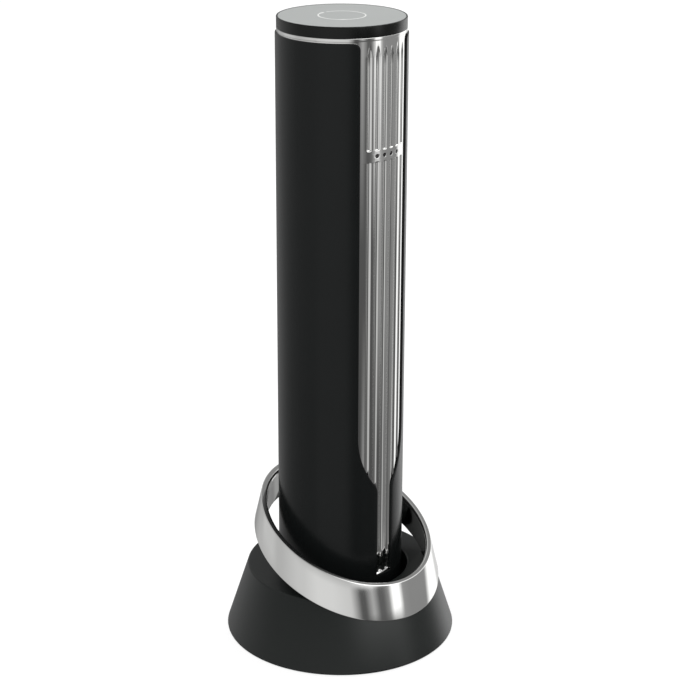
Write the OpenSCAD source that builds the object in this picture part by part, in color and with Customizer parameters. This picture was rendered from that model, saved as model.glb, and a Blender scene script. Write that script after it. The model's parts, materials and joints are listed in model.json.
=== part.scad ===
// Electric wine opener on its stand.
// Millimetres, +Z up. The front, with the fluted strip, faces -Y.
// The origin is the centre of the stand's underside.

/* [Opener body] */
// Outer diameter of the black sleeve
body_d = 48; // [47:0.5:58]
// Length of the opener, from the bottle mouth to the touch plate
body_len = 228; // [226:1:290]
// Wall of the black sleeve
shell_wall = 0.55; // [0.4:0.05:0.8]
// Wall of the fluted tube
tube_wall = 1.4; // [1.2:0.1:1.8]
// Play between pieces that slide together once and stay
fit_gap = 0.05; // [0.02:0.01:0.08]

/* [Front window] */
// Half width of the window in the sleeve
window_half_w = 11.8; // [10:0.1:14]
// Half width of the slot below the window
slot_half_w = 3.8; // [3:0.1:5]
// Height of the slot's end above the mouth of the opener
slot_end_h = 16.2; // [15:0.1:24]
// Height above the mouth at which the window starts to narrow
narrow_start_h = 74.5; // [70:0.5:110]
// Radius of the long upper bend of the narrowing
narrow_r = 32.4; // [24:0.1:40]
// Radius of the short bend into the slot
slot_bend_r = 6.5; // [4:0.1:10]
// Rounding of the sleeve's corners at the top of the window
window_corner_r = 1.8; // [0.5:0.1:3]

/* [Flutes and indicators] */
// Number of flutes
flute_count = 6; // [2:2:6]
// Angle between neighbouring flutes
flute_pitch = 8.14; // [7:0.01:8.6]
// Width of a flute
flute_w = 1.8; // [1.2:0.1:2.2]
// Depth of a flute
flute_depth = 0.5; // [0.3:0.05:0.7]
// Height of the row of indicators above the mouth
indicator_h = 181.5; // [170:0.5:200]
// Height of the plain band round the indicators
plain_band_h = 3.7; // [3:0.1:6]
// Height of the lower ends of the flutes above the mouth
flute_start_h = 25.6; // [20:0.1:40]
// Distance of the upper ends of the flutes below the tube's end
flute_top_gap = 1.8; // [1:0.1:6]
// Length over which a flute runs out to a point at its upper end
flute_run_out = 4; // [2:0.1:8]
// Number of indicators
indicator_count = 4; // [2:2:4]
// Diameter of an indicator hole
indicator_d = 1.5; // [1:0.1:2]

/* [Cap] */
// Height of the black cap ring
cap_h = 4.1; // [3.9:0.1:8]
// Height of the chrome trim ring under it
trim_h = 1.25; // [0.8:0.05:2]
// Step from the sleeve in to the cap ring
cap_step = 0.5; // [0.3:0.05:0.8]
// Width of the rim round the touch plate
cap_rim = 0.53; // [0.4:0.01:1]
// Thickness of the touch plate
plate_t = 1.75; // [1.2:0.05:2.2]

/* [Mouth and cork chamber] */
// Diameter of the bore that takes the bottle's neck
neck_d = 31; // [29:0.1:32]
// Depth of that bore from the mouth to the stop
neck_depth = 24; // [18:0.5:28]
// Inner diameter of the cork chamber
chamber_d = 25.4; // [24:0.1:26]
// Length of the cork sleeve
sleeve_len = 68; // [62:0.5:74]
// Number of ribs that keep the cork from turning
rib_count = 6; // [3:1:12]

/* [Corkscrew] */
// Outer diameter of the helix
worm_d = 8.6; // [7.5:0.1:9.5]
// Diameter of its wire
worm_wire_d = 2.8; // [2.2:0.1:3]
// Rise of the helix in one turn
worm_pitch = 8.8; // [7.5:0.1:11]
// Height of the tip above the neck stop
worm_tip_gap = 4; // [1:0.5:8]

/* [Gearbox and motor] */
// Gear module
gear_module = 0.7; // [0.6:0.01:0.72]
// Width of the planet gears
planet_w = 6; // [5:0.5:7]
// Play between meshing teeth, on each gear
tooth_play = 0.08; // [0.06:0.01:0.12]
// Outer diameter of the motor
motor_d = 27.7; // [24:0.1:30]
// Length of the motor's can
motor_len = 32.7; // [28:0.1:36]
// Diameter of the battery cell
cell_d = 14.2; // [12:0.1:16]
// Length of the battery cell
cell_len = 46; // [40:0.5:50]

/* [Stand] */
// Height of the stand's flat top
base_h = 26.1; // [24:0.1:34]
// Distance from the sleeve out to the edge of the flat top
base_shoulder = 12.4; // [12:0.1:18]
// Slope of the cone's side from upright
base_slope = 18; // [10:0.1:30]
// Depth to which the opener stands in the socket
socket_depth = 12.7; // [10:0.1:15]
// Gap between the sleeve and the socket
socket_gap = 2.5; // [1:0.1:4]
// Thickness of the soft pad on the socket floor
pad_t = 1.2; // [0.8:0.1:2]
// Height of the middle of the chrome ring's upper rim
ring_h = 47.2; // [44:0.1:56]
// Upright height of the ring's band
ring_band = 12.68; // [10:0.01:16]
// Tilt of the ring
ring_tilt = 23.77; // [20:0.01:26]
// Slope of the ring's outside from upright
ring_slope = 12.98; // [8:0.01:16]
// Gap between the sleeve and the ring's inner wall, at the sides
ring_gap = 7.3; // [6:0.1:10]
// Forward shift of the ring's inner wall
ring_shift = 3.3; // [2:0.1:4]
// Thickness of the ring at its rim, at the sides
rim_wall = 1.6; // [1.2:0.1:2.4]

/* [Hidden] */
$fn = 96;
eps = 0.01;          // overlap that joins the parts of one solid
cut = 1;             // how far a cutting shape runs past a face
far = 200;           // longer than the object is wide
round_fn = 180;      // for the large round faces
small_fn = 32;       // for screws and small holes
pin_fn = 48;         // for pins and their bores

// Radii of the nested tubes
body_r = body_d / 2;
shell_in_r = body_r - shell_wall;
tube_r = shell_in_r - fit_gap;
tube_in_r = tube_r - tube_wall;
spigot_r = tube_in_r - fit_gap;
frame_play = 0.2;
frame_r = tube_in_r - frame_play;
cap_r = body_r - cap_step;

// Screws: the threads are left plain
thread_r = 1.25;
head_r = 2.1;
head_t = 1.6;
flat_head_t = 0.9;
small_thread_r = 1;
small_head_r = 1.8;
small_head_t = 1.4;
hole_play = 0.2;
screw_angles = [90, 210, 330];
turned_angles = [30, 150, 270];

// Levels of the opener, from the mouth up
mouth_z = base_h - socket_depth;
flange_t = 1.5;
collar_step_z = mouth_z + 12.6;
stop_z = mouth_z + neck_depth;
stop_t = 2.6;
sleeve_z = stop_z + stop_t;
collar_top_z = sleeve_z + 7;
cover_z = sleeve_z + sleeve_len;
cover_t = 4;
gear_z = cover_z + cover_t;
top_z = mouth_z + body_len;
cap_z = top_z - cap_h;
tube_top_z = cap_z - trim_h;
indicator_z = mouth_z + indicator_h;
cap_spigot_len = 6;

// Neck bore, cork chamber and worm
neck_r = neck_d / 2;
neck_lead_h = 3;
neck_lead_w = 1.1;
chamber_r = chamber_d / 2;
sleeve_wall = 1.8;
sleeve_r = chamber_r + sleeve_wall;
sleeve_flange_h = 3;
stop_r = chamber_r - 0.5;
rib_h = 0.8;
rib_w = 1.2;
rib_gap = 10;
collar_screw_r = spigot_r - 2.65;
collar_head_depth = 3.5;
collar_screw_bite = 9;
wire_r = worm_wire_d / 2;
helix_r = worm_d / 2 - wire_r;
tip_z = stop_z + worm_tip_gap;
chuck_z = cover_z - 16;
chuck_top_z = cover_z - 1;
shank_len = 6;
chuck_r = 6.2;
shaft_r = 4;
chuck_pin_r = 1;
shaft_end_z = chuck_z + shank_len + 0.5;
chuck_pin_z = (shaft_end_z + chuck_top_z) / 2;
worm_close_h = 6;    // over this height the helix closes in on the axis
worm_point_r = 0.12; // radius of the tip, as a share of the wire's

// Gear train: both stages share the ring gear. Tooth heights are in modules.
sun_teeth = 9;
planet_teeth = 18;
ring_teeth = sun_teeth + 2 * planet_teeth;
pressure_angle = 25;
addendum = 0.9;
dedendum = 1.15;
gear_axis_r = gear_module * (sun_teeth + planet_teeth) / 2;
planet_angles = [0, 120, 240];
pin_r = 1;
running_gap = 0.05;
washer_t = 0.4;
carrier_t = 3;
stage_gap = 0.3;
carrier_r = gear_axis_r + 4.2;
output_carrier_z = gear_z + washer_t;
output_planet_z = output_carrier_z + carrier_t + stage_gap;
input_carrier_z = output_planet_z + planet_w + 0.4;
input_carrier_t = 2.5;
input_planet_z = input_carrier_z + input_carrier_t + stage_gap;
plate_z = input_planet_z + planet_w + 0.7;
motor_plate_t = 2.5;
motor_z = plate_z + motor_plate_t;
frame_wall = 1.75;
gearbox_r = frame_r - frame_wall - running_gap;
gearbox_screw_r = gearbox_r - 1.7;
cover_screw_depth = 3.2;
bush_r = shaft_r + 2;

// Motor
can_r = motor_d / 2;
can_wall = 0.8;
can_in_r = can_r - can_wall;
can_floor_t = 1.6;
motor_boss_r = 5;
motor_boss_h = 2;
motor_shaft_r = 1;
motor_bush_r = 2.6;
motor_bush_play = 0.02;
can_top_z = motor_z + motor_len;
rotor_z = motor_z + 5;
rotor_h = 19;
rotor_r = can_in_r - 3;
end_cap_t = 4;
end_cap_z = can_top_z - 1.3;
motor_end_z = end_cap_z + end_cap_t + 1.5;
terminal_x = 7;
terminal_t = 0.6;
terminal_w = 3;
terminal_top_z = motor_end_z + 3;
motor_screw_r = 8;
motor_screw_angles = [0, 180];
motor_pocket_t = 1.1;
pole_angles = [0:72:288];
pole_w = 2.6;
shoe_t = 1.4;
shoe_slot_w = 1.8;
commutator_r = 3.4;
commutator_z = end_cap_z - 4.6;

// Frame, boards and battery above the gearbox
frame_in_r = frame_r - frame_wall;
frame_top_z = cap_z - cap_spigot_len - 0.3;
web_t = 2;
bay_z = motor_end_z + 10;
cell_r = cell_d / 2;
cell_z = bay_z + web_t + 0.6;
board_t = 1.2;
cell_knob_h = 0.8;
board_y = 3.3 - frame_r;
board_half_w = 9;
board_z = bay_z - 7;
board_top_z = frame_top_z - 2;
board_play = 0.1;
frame_boss_y = 13;
frame_boss_r = 2.9;
frame_screw_z = [bay_z - 6.2, cell_z + cell_len - 2.6];
frame_head_x = 6;
frame_screw_bite = 7;
port_z = indicator_z + 10;
port_w = 7.4;
port_h = 2.7;
port_play = 0.5;
socket_wall_t = 0.3;
charge_board_w = port_w + 2.6;
charge_board_y = cell_r + 1.6;

// Stand
base_top_r = body_r + base_shoulder;
base_wall = 4.2;
foot_gap = 0.15;
socket_r = body_r + socket_gap;
socket_floor_z = mouth_z - pad_t;
socket_floor_t = 2.5;
socket_wall = 3;
ballast_t = 5.5;
cover_low_z = 1.4;
cover_high_z = 3.4;
cover_seat = 1.2;
cover_r = base_r(cover_high_z) - base_wall + cover_seat;
foot_in_r = cover_r - 4.8;
foot_out_r = cover_r - 0.8;
foot_top_z = 2;
ring_in_r = body_r + ring_gap;
ring_low = ring_h - ring_band;
ring_screw_angles = [-35, 0, 35];
ring_screw_inset = 1.9;
ring_screw_bite = 5;
ledge_t = 3.7;
cavity_top_z = ring_low - base_top_r * tan(ring_tilt) - ledge_t - hole_play;
cover_screw_r = socket_r + 7;
cover_boss_r = 3;
cover_pocket_t = 1;

// Angles of the flutes and the indicators from the front
flute_angles = [for (i = [0:flute_count - 1]) (i - (flute_count - 1) / 2) * flute_pitch];
indicator_angles = [for (i = [0:indicator_count - 1]) (i - (indicator_count - 1) / 2) * flute_pitch];

// Radius of the stand's cone at height z
function base_r(z) = base_top_r + (base_h - z) * tan(base_slope);
// Point at angle a on an edge of radius r, its centre at height z, that touches the cone's side
function base_edge(r, z, a) = [base_r(z) - r / cos(base_slope) + r * cos(a), z + r * sin(a)];
// Outer radius of the chrome ring at height z
function ring_cone_r(z) = ring_in_r + rim_wall + (ring_h - z) * tan(ring_slope);
// Distance from the axis to the ring's inner wall, at angle a from the front
function ring_wall(a) = ring_shift * cos(a) + sqrt(pow(ring_in_r, 2) - pow(ring_shift * sin(a), 2));
// Height of a plane that has the ring's tilt, at forward distance s
function tilted_z(middle_z, s) = middle_z - s * tan(ring_tilt);

// ---------- shared shapes ----------

// Tube with wall between r_in and r_out
module tube(r_out, r_in, z_low, z_high) {
    translate([0, 0, z_low])
        difference() {
            cylinder(r = r_out, h = z_high - z_low);
            translate([0, 0, -cut])
                cylinder(r = r_in, h = z_high - z_low + 2 * cut);
        }
}

// Cylinder between two heights
module post(r, z_low, z_high) {
    translate([0, 0, z_low])
        cylinder(r = r, h = z_high - z_low);
}

// Children repeated round the axis at the given angles, moved out by r
module around(angles, r) {
    for (a = angles)
        rotate([0, 0, a])
            translate([r, 0, 0])
                children();
}

// Everything above a plane with the ring's tilt
module above_plane(middle_z) {
    translate([0, 0, middle_z])
        rotate([ring_tilt, 0, 0])
            translate([-far, -far, 0])
                cube([2 * far, 2 * far, far]);
}

// Pan-head screw that points up: the head's top is at z = 0, below the joint face
module screw_up(thread, length, head, head_h) {
    union() {
        translate([0, 0, -head_h])
            cylinder(r = head, h = head_h, $fn = small_fn);
        translate([0, 0, -eps])
            cylinder(r = thread, h = length + eps, $fn = small_fn);
    }
}

// ---------- gear teeth ----------

// Involute function in degrees: how far the flank has turned at radius r
function flank_turn(base_radius, r) =
    r <= base_radius ? 0
    : let (t = sqrt(pow(r / base_radius, 2) - 1)) t * 180 / PI - atan(t);

// Half the angle that a tooth fills at radius r
function tooth_half_angle(teeth, r, play) =
    let (pitch_r = gear_module * teeth / 2)
    let (base_radius = pitch_r * cos(pressure_angle))
    90 / teeth - play / 2 / pitch_r * 180 / PI
    + flank_turn(base_radius, pitch_r) - flank_turn(base_radius, r);

// Outline of a gear. A negative play widens the teeth, for the hole of an internal gear.
function gear_outline(teeth, root_r, tip_r, play) =
    let (base_radius = gear_module * teeth / 2 * cos(pressure_angle))
    let (flank_r = max(root_r, base_radius))
    let (steps = 3)
    let (radii = concat(
        root_r < base_radius ? [root_r] : [],
        [for (k = [0:steps]) flank_r + (tip_r - flank_r) * k / steps]))
    let (last = len(radii) - 1)
    [for (i = [0:teeth - 1])
        for (side = [-1, 1])
            for (k = [0:last])
                let (r = radii[side < 0 ? k : last - k])
                let (a = 360 * i / teeth + side * tooth_half_angle(teeth, r, play))
                [r * cos(a), r * sin(a)]];

module gear_2d(teeth) {
    pitch_r = gear_module * teeth / 2;
    polygon(gear_outline(teeth, pitch_r - dedendum * gear_module,
        pitch_r + addendum * gear_module, tooth_play));
}

// A planet gear in mesh, at angle a round the axis
module planet(a, z) {
    rotate([0, 0, a])
        translate([gear_axis_r, 0, z])
            difference() {
                linear_extrude(planet_w)
                    gear_2d(planet_teeth);
                translate([0, 0, -cut])
                    cylinder(r = pin_r + running_gap, h = planet_w + 2 * cut, $fn = pin_fn);
            }
}

// Planet pins, pressed into a carrier
module planet_pins(z_low, z_high) {
    around(planet_angles, gear_axis_r)
        post(pin_r, z_low, z_high, $fn = pin_fn);
}

module sun_gear(z_low, z_high) {
    translate([0, 0, z_low])
        rotate([0, 0, 180 / sun_teeth])
            linear_extrude(z_high - z_low)
                gear_2d(sun_teeth);
}

// ---------- stand ----------

module ring_screw_place() {
    for (a = ring_screw_angles) {
        r = ring_wall(a) + ring_screw_inset;
        rotate([0, 0, a])
            translate([0, -r, tilted_z(ring_low, r * cos(a))])
                children();
    }
}

module stand_base() {
    edge_r = 0.6;
    shoulder_r = 1.5;
    steps = 6;
    color("#2b2b2b")
        difference() {
            rotate_extrude($fn = round_fn)
                polygon(concat(
                    [[0, foot_gap]],
                    [for (k = [0:steps])
                        base_edge(edge_r, foot_gap + edge_r, (base_slope + 90) * k / steps - 90)],
                    [for (k = [0:steps])
                        base_edge(shoulder_r, base_h - shoulder_r,
                            base_slope + (90 - base_slope) * k / steps)],
                    [[0, base_h]]));
            post(socket_r, socket_floor_z, base_h + cut);
            rotate_extrude($fn = round_fn)
                polygon([
                    [0, -cut], [cover_r + hole_play, -cut], [cover_r + hole_play, cover_high_z],
                    [base_r(cover_high_z) - base_wall, cover_high_z],
                    [base_r(cavity_top_z) - base_wall, cavity_top_z],
                    [socket_r + socket_wall, cavity_top_z],
                    [socket_r + socket_wall, socket_floor_z - socket_floor_t],
                    [0, socket_floor_z - socket_floor_t]]);
            difference() {
                above_plane(ring_low);
                translate([0, -ring_shift, 0])
                    cylinder(r = ring_in_r - fit_gap, h = far);
            }
            ring_screw_place() {
                translate([0, 0, -far])
                    cylinder(r = head_r + hole_play, h = far - ledge_t);
                translate([0, 0, -far / 2])
                    cylinder(r = thread_r + hole_play, h = far);
            }
        }
    color("#2b2b2b")
        around(screw_angles, cover_screw_r)
            difference() {
                post(cover_boss_r, cover_high_z, cavity_top_z + eps);
                post(thread_r, cover_high_z - cut, cavity_top_z - cover_boss_r);
            }
}

module stand_ring() {
    tilt_rise = ring_cone_r(ring_low) * tan(ring_tilt) + cut;
    low_z = ring_low - tilt_rise;
    high_z = ring_h + tilt_rise;
    color("#d8d8d8")
        difference() {
            translate([0, 0, low_z])
                cylinder(r1 = ring_cone_r(low_z), r2 = ring_cone_r(high_z), h = high_z - low_z,
                    $fn = round_fn);
            above_plane(ring_h);
            mirror([0, 0, 1])
                mirror([0, 1, 0])
                    above_plane(-ring_low);
            translate([0, -ring_shift, low_z - cut])
                cylinder(r = ring_in_r, h = high_z, $fn = round_fn);
            ring_screw_place()
                translate([0, 0, -cut])
                    cylinder(r = thread_r, h = ring_screw_bite + cut + 0.5);
        }
}

module socket_pad() {
    color("#3a3a3a")
        post(socket_r - hole_play, socket_floor_z, mouth_z);
}

module ballast_plate() {
    color("#8a8d90")
        translate([0, 0, socket_floor_z - socket_floor_t - ballast_t])
            cylinder(r = socket_r + socket_wall / 2, h = ballast_t);
}

module base_cover() {
    color("#262626")
        difference() {
            post(cover_r, cover_low_z, cover_high_z);
            tube(foot_out_r, foot_in_r, cover_low_z - cut, foot_top_z);
            around(screw_angles, cover_screw_r) {
                post(thread_r + hole_play, cover_low_z - cut, cover_high_z + cut);
                post(head_r + hole_play, cover_low_z - cut, cover_low_z + cover_pocket_t);
            }
        }
}

module foot_ring() {
    color("#1c1c1c")
        tube(foot_out_r - fit_gap, foot_in_r + fit_gap, 0, foot_top_z);
}

module cover_screws() {
    cover_screw_len = 8;
    color("#9a9a9a")
        around(screw_angles, cover_screw_r)
            translate([0, 0, cover_low_z + cover_pocket_t])
                screw_up(thread_r, cover_screw_len, head_r, flat_head_t);
}

module ring_screws() {
    color("#9a9a9a")
        ring_screw_place()
            translate([0, 0, -ledge_t])
                screw_up(thread_r, ledge_t + ring_screw_bite, head_r, head_t);
}

// ---------- opener, outside ----------

// Front window of the sleeve, seen from the front: straight sides, a long bend in,
// a short bend back, and the slot
module window_2d() {
    bend = acos(1 - (window_half_w - slot_half_w) / (narrow_r + slot_bend_r));
    bend_z = mouth_z + narrow_start_h;
    slot_z = bend_z - (narrow_r + slot_bend_r) * sin(bend);
    steps = 10;
    side = concat(
        [[window_half_w, tube_top_z + cut]],
        [for (k = [0:steps])
            let (a = bend * k / steps)
            [window_half_w - narrow_r * (1 - cos(a)), bend_z - narrow_r * sin(a)]],
        [for (k = [steps - 1:-1:0])
            let (a = bend * k / steps)
            [slot_half_w + slot_bend_r * (1 - cos(a)), slot_z + slot_bend_r * sin(a)]],
        [[slot_half_w, mouth_z + slot_end_h]]);
    polygon(concat(side, [for (k = [len(side) - 1:-1:0]) [-side[k][0], side[k][1]]]));
    for (mirror_x = [0, 1])
        mirror([mirror_x, 0])
            difference() {
                translate([window_half_w - eps, tube_top_z - window_corner_r])
                    square([window_corner_r + eps, window_corner_r + cut]);
                translate([window_half_w + window_corner_r, tube_top_z - window_corner_r])
                    circle(r = window_corner_r, $fn = pin_fn);
            }
}

// Slot for the charging plug, through every wall at the back
module port_cut(play) {
    half_w = port_w / 2 + play;
    half_h = port_h / 2 + play;
    translate([0, far / 2, port_z])
        rotate([90, 0, 0])
            linear_extrude(far / 2)
                union() {
                    square([2 * (half_w - half_h), 2 * half_h], center = true);
                    for (side = [-1, 1])
                        translate([side * (half_w - half_h), 0])
                            circle(r = half_h, $fn = small_fn);
                }
}

module outer_shell() {
    shell_port_step = 0.4;
    color("#202221")
        difference() {
            tube(body_r, shell_in_r, mouth_z + flange_t, tube_top_z, $fn = round_fn);
            rotate([90, 0, 0])
                linear_extrude(far)
                    window_2d();
            port_cut(port_play + shell_port_step);
        }
}

// A cutter for a flute between two heights: a ball at its lower end, and at its upper end
// a ball, or a cone that leaves the wall over the length of the run-out
module flute_cutter(z_low, z_high, run_out) {
    cutter_r = (pow(flute_w / 2, 2) + pow(flute_depth, 2)) / (2 * flute_depth);
    out = tube_r - flute_depth + cutter_r;
    end_z = z_high - max(run_out, cutter_r);
    translate([0, -out, 0]) {
        post(cutter_r, z_low + cutter_r, end_z, $fn = 40);
        for (z = run_out > 0 ? [z_low + cutter_r] : [z_low + cutter_r, end_z])
            translate([0, 0, z])
                sphere(r = cutter_r, $fn = 40);
        if (run_out > 0)
            translate([0, 0, end_z - eps])
                cylinder(r1 = cutter_r, r2 = 0, h = run_out * cutter_r / flute_depth, $fn = 40);
    }
}

// Small tab that fills the end of the sleeve's slot, so that the tube can't turn
module slot_key() {
    key_z = mouth_z + slot_end_h + fit_gap;
    key_h = 0.8;
    root_r = tube_r - tube_wall / 2;
    intersection() {
        rotate_extrude($fn = round_fn)
            polygon([[root_r, key_z], [body_r - fit_gap, key_z], [tube_r, key_z + key_h],
                [root_r, key_z + key_h]]);
        translate([-slot_half_w + fit_gap, -far, 0])
            cube([2 * (slot_half_w - fit_gap), far, far]);
    }
}

module fluted_tube() {
    color("#c9cbca")
        difference() {
            union() {
                tube(tube_r, tube_in_r, collar_step_z, tube_top_z, $fn = round_fn);
                slot_key();
            }
            for (a = flute_angles)
                rotate([0, 0, a]) {
                    flute_cutter(mouth_z + flute_start_h, indicator_z - plain_band_h / 2, 0);
                    flute_cutter(indicator_z + plain_band_h / 2, tube_top_z - flute_top_gap,
                        flute_run_out);
                }
            for (a = indicator_angles)
                rotate([0, 0, a])
                    translate([0, cut - tube_in_r, indicator_z])
                        rotate([90, 0, 0])
                            cylinder(d = indicator_d, h = tube_wall + 2 * cut, $fn = small_fn);
            port_cut(port_play);
        }
}

module trim_ring() {
    color("#dadada")
        tube(cap_r, spigot_r + 2 * fit_gap, tube_top_z, cap_z, $fn = round_fn);
}

module cap_ring() {
    seat_z = top_z - plate_t;
    hole_r = spigot_r - 1.35;
    edge = 0.3;
    color("#202221")
        rotate_extrude($fn = round_fn)
            polygon([
                [hole_r, cap_z - cap_spigot_len], [spigot_r, cap_z - cap_spigot_len],
                [spigot_r, cap_z], [cap_r, cap_z],
                [cap_r, top_z - edge], [cap_r - edge, top_z],
                [cap_r - cap_rim, top_z], [cap_r - cap_rim, seat_z], [hole_r, seat_z]]);
}

module touch_plate() {
    color("#b9bab8")
        post(cap_r - cap_rim - fit_gap, top_z - plate_t, top_z - fit_gap, $fn = round_fn);
}

module touch_board() {
    color("#2f6b3c")
        post(spigot_r - 1.6, top_z - plate_t - board_t, top_z - plate_t);
}

// Four light pipes on one curved bar
module light_guide() {
    bar_r = frame_r - 0.1;
    bar_t = 1.5;
    bar_half_w = 6.5;
    pipe_h = tube_r - bar_r - 0.3;
    color("#3c3f40")
        union() {
            intersection() {
                tube(bar_r, bar_r - bar_t, indicator_z - bar_t, indicator_z + bar_t);
                translate([-bar_half_w, -far, 0])
                    cube([2 * bar_half_w, far, 2 * far]);
            }
            for (a = indicator_angles)
                rotate([0, 0, a])
                    translate([0, bar_t / 2 - bar_r, indicator_z])
                        rotate([90, 0, 0])
                            cylinder(d = indicator_d - 2 * fit_gap, h = pipe_h + bar_t / 2, $fn = small_fn);
        }
}

module neck_collar() {
    edge = 0.4;
    color("#242424")
        difference() {
            rotate_extrude($fn = 120)
                polygon([
                    [neck_r + neck_lead_w, mouth_z], [body_r - edge, mouth_z],
                    [body_r, mouth_z + edge], [body_r, mouth_z + flange_t],
                    [tube_r, mouth_z + flange_t], [tube_r, collar_step_z],
                    [spigot_r, collar_step_z], [spigot_r, collar_top_z],
                    [sleeve_r + fit_gap, collar_top_z], [sleeve_r + fit_gap, sleeve_z],
                    [stop_r, sleeve_z], [stop_r, stop_z],
                    [neck_r, stop_z], [neck_r, mouth_z + neck_lead_h]]);
            around(screw_angles, collar_screw_r) {
                post(thread_r + hole_play, mouth_z - cut, collar_top_z + cut, $fn = small_fn);
                post(head_r + hole_play, mouth_z - cut, mouth_z + collar_head_depth, $fn = small_fn);
            }
        }
}

module collar_screws() {
    color("#9a9a9a")
        around(screw_angles, collar_screw_r)
            translate([0, 0, mouth_z + collar_head_depth])
                screw_up(thread_r, collar_top_z - mouth_z - collar_head_depth + collar_screw_bite,
                    head_r, head_t);
}

// Cork chamber: ribbed bore, a flange at each end
module cork_sleeve() {
    boss_r = 2.6;
    boss_h = collar_screw_bite + 2;
    fin_t = 1.6;
    fin_h = cover_z - collar_top_z - sleeve_flange_h - 3;
    color("#55585a")
        difference() {
            union() {
                post(sleeve_r, sleeve_z, cover_z);
                post(spigot_r, collar_top_z, collar_top_z + sleeve_flange_h);
                post(frame_r, cover_z - sleeve_flange_h, cover_z);
                around(screw_angles, collar_screw_r)
                    post(boss_r, collar_top_z, collar_top_z + boss_h);
                around(turned_angles, sleeve_r - 0.5)
                    translate([0, -fin_t / 2, collar_top_z])
                        cube([spigot_r - sleeve_r - 1.5, fin_t, fin_h]);
            }
            difference() {
                post(chamber_r, sleeve_z - cut, cover_z + cut);
                around([for (i = [0:rib_count - 1]) 360 * i / rib_count], chamber_r - rib_h)
                    translate([0, -rib_w / 2, sleeve_z])
                        cube([rib_h + cut, rib_w, cover_z - sleeve_z - rib_gap]);
            }
            around(screw_angles, collar_screw_r)
                post(thread_r, collar_top_z - cut, collar_top_z + collar_screw_bite + 1, $fn = small_fn);
            around(turned_angles, gearbox_screw_r)
                post(small_thread_r + hole_play, cover_z - sleeve_flange_h - cut, cover_z + cut,
                    $fn = small_fn);
        }
}

module sleeve_screws() {
    color("#9a9a9a")
        around(turned_angles, gearbox_screw_r)
            translate([0, 0, cover_z - sleeve_flange_h])
                screw_up(small_thread_r, sleeve_flange_h + cover_screw_depth - hole_play,
                    small_head_r, small_head_t);
}

// ---------- gearbox ----------

module output_cover() {
    color("#8c8f91")
        difference() {
            post(frame_r, cover_z, gear_z);
            post(bush_r, cover_z - cut, gear_z + cut);
            around(screw_angles, gearbox_screw_r)
                post(small_thread_r, cover_z + 1, gear_z + cut, $fn = small_fn);
            around(turned_angles, gearbox_screw_r)
                post(small_thread_r, cover_z - cut, cover_z + cover_screw_depth, $fn = small_fn);
        }
}

module output_bush() {
    color("#b98b4a")
        tube(bush_r, shaft_r + running_gap, cover_z - 0.5, gear_z);
}

module thrust_washer() {
    color("#b0b2b4")
        tube(shaft_r + 5, shaft_r + 0.2, gear_z, gear_z + washer_t);
}

module ring_gear() {
    pitch_r = gear_module * ring_teeth / 2;
    color("#e6e2d6")
        difference() {
            post(gearbox_r, gear_z, plate_z);
            translate([0, 0, gear_z - cut])
                linear_extrude(plate_z - gear_z + 2 * cut)
                    polygon(gear_outline(ring_teeth, pitch_r - addendum * gear_module,
                        pitch_r + dedendum * gear_module, -tooth_play));
            around(screw_angles, gearbox_screw_r)
                post(small_thread_r + hole_play / 2, gear_z - cut, plate_z + cut, $fn = small_fn);
        }
}

module gearbox_screws() {
    color("#9a9a9a")
        around(screw_angles, gearbox_screw_r)
            translate([0, 0, motor_z])
                mirror([0, 0, 1])
                    screw_up(small_thread_r, motor_z - cover_z - 1.5, 1.6, small_head_t);
}

module output_carrier() {
    color("#9ea2a6")
        difference() {
            union() {
                post(carrier_r, output_carrier_z, output_carrier_z + carrier_t);
                post(shaft_r, shaft_end_z, output_carrier_z + eps);
            }
            around(planet_angles, gear_axis_r)
                post(pin_r, output_carrier_z - cut, output_carrier_z + carrier_t + cut, $fn = pin_fn);
            cross_pin(far);
        }
}

// The pin that crosses the chuck and the shaft
module cross_pin(length) {
    translate([-length / 2, 0, chuck_pin_z])
        rotate([0, 90, 0])
            cylinder(r = chuck_pin_r, h = length, $fn = pin_fn);
}

module output_pins() {
    color("#c4c6c8")
        planet_pins(output_carrier_z, output_planet_z + planet_w + 0.1);
}

module output_planet_1() {
    color("#b9a98a") planet(planet_angles[0], output_planet_z);
}

module output_planet_2() {
    color("#b9a98a") planet(planet_angles[1], output_planet_z);
}

module output_planet_3() {
    color("#b9a98a") planet(planet_angles[2], output_planet_z);
}

module input_carrier() {
    color("#9ea2a6")
        difference() {
            union() {
                post(carrier_r, input_carrier_z, input_carrier_z + input_carrier_t);
                sun_gear(output_planet_z + 0.2, input_carrier_z + eps);
            }
            around(planet_angles, gear_axis_r)
                post(pin_r, input_carrier_z - cut, input_carrier_z + input_carrier_t + cut, $fn = pin_fn);
        }
}

module input_pins() {
    color("#c4c6c8")
        planet_pins(input_carrier_z, input_planet_z + planet_w + 0.1);
}

module input_planet_1() {
    color("#e6e2d6") planet(planet_angles[0], input_planet_z);
}

module input_planet_2() {
    color("#e6e2d6") planet(planet_angles[1], input_planet_z);
}

module input_planet_3() {
    color("#e6e2d6") planet(planet_angles[2], input_planet_z);
}

// ---------- corkscrew ----------

// Middle of the wire at height z: a helix that closes in on the axis below the chuck
function worm_axis_r(z) =
    let (close_z = chuck_z - worm_close_h)
    z < close_z ? helix_r
    : z < chuck_z ? helix_r * (1 + cos(180 * (z - close_z) / (chuck_z - close_z))) / 2
    : 0;
function worm_turn(z) = 360 * (min(z, chuck_z) - tip_z) / worm_pitch;
function worm_point(z) = [worm_axis_r(z) * cos(worm_turn(z)), worm_axis_r(z) * sin(worm_turn(z)), z];
// The wire is ground to a point over its first turn
function worm_wire_r(z) = wire_r * min(1, worm_point_r + (1 - worm_point_r) * (z - tip_z) / worm_pitch);
function unit(v) = v / norm(v);

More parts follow.
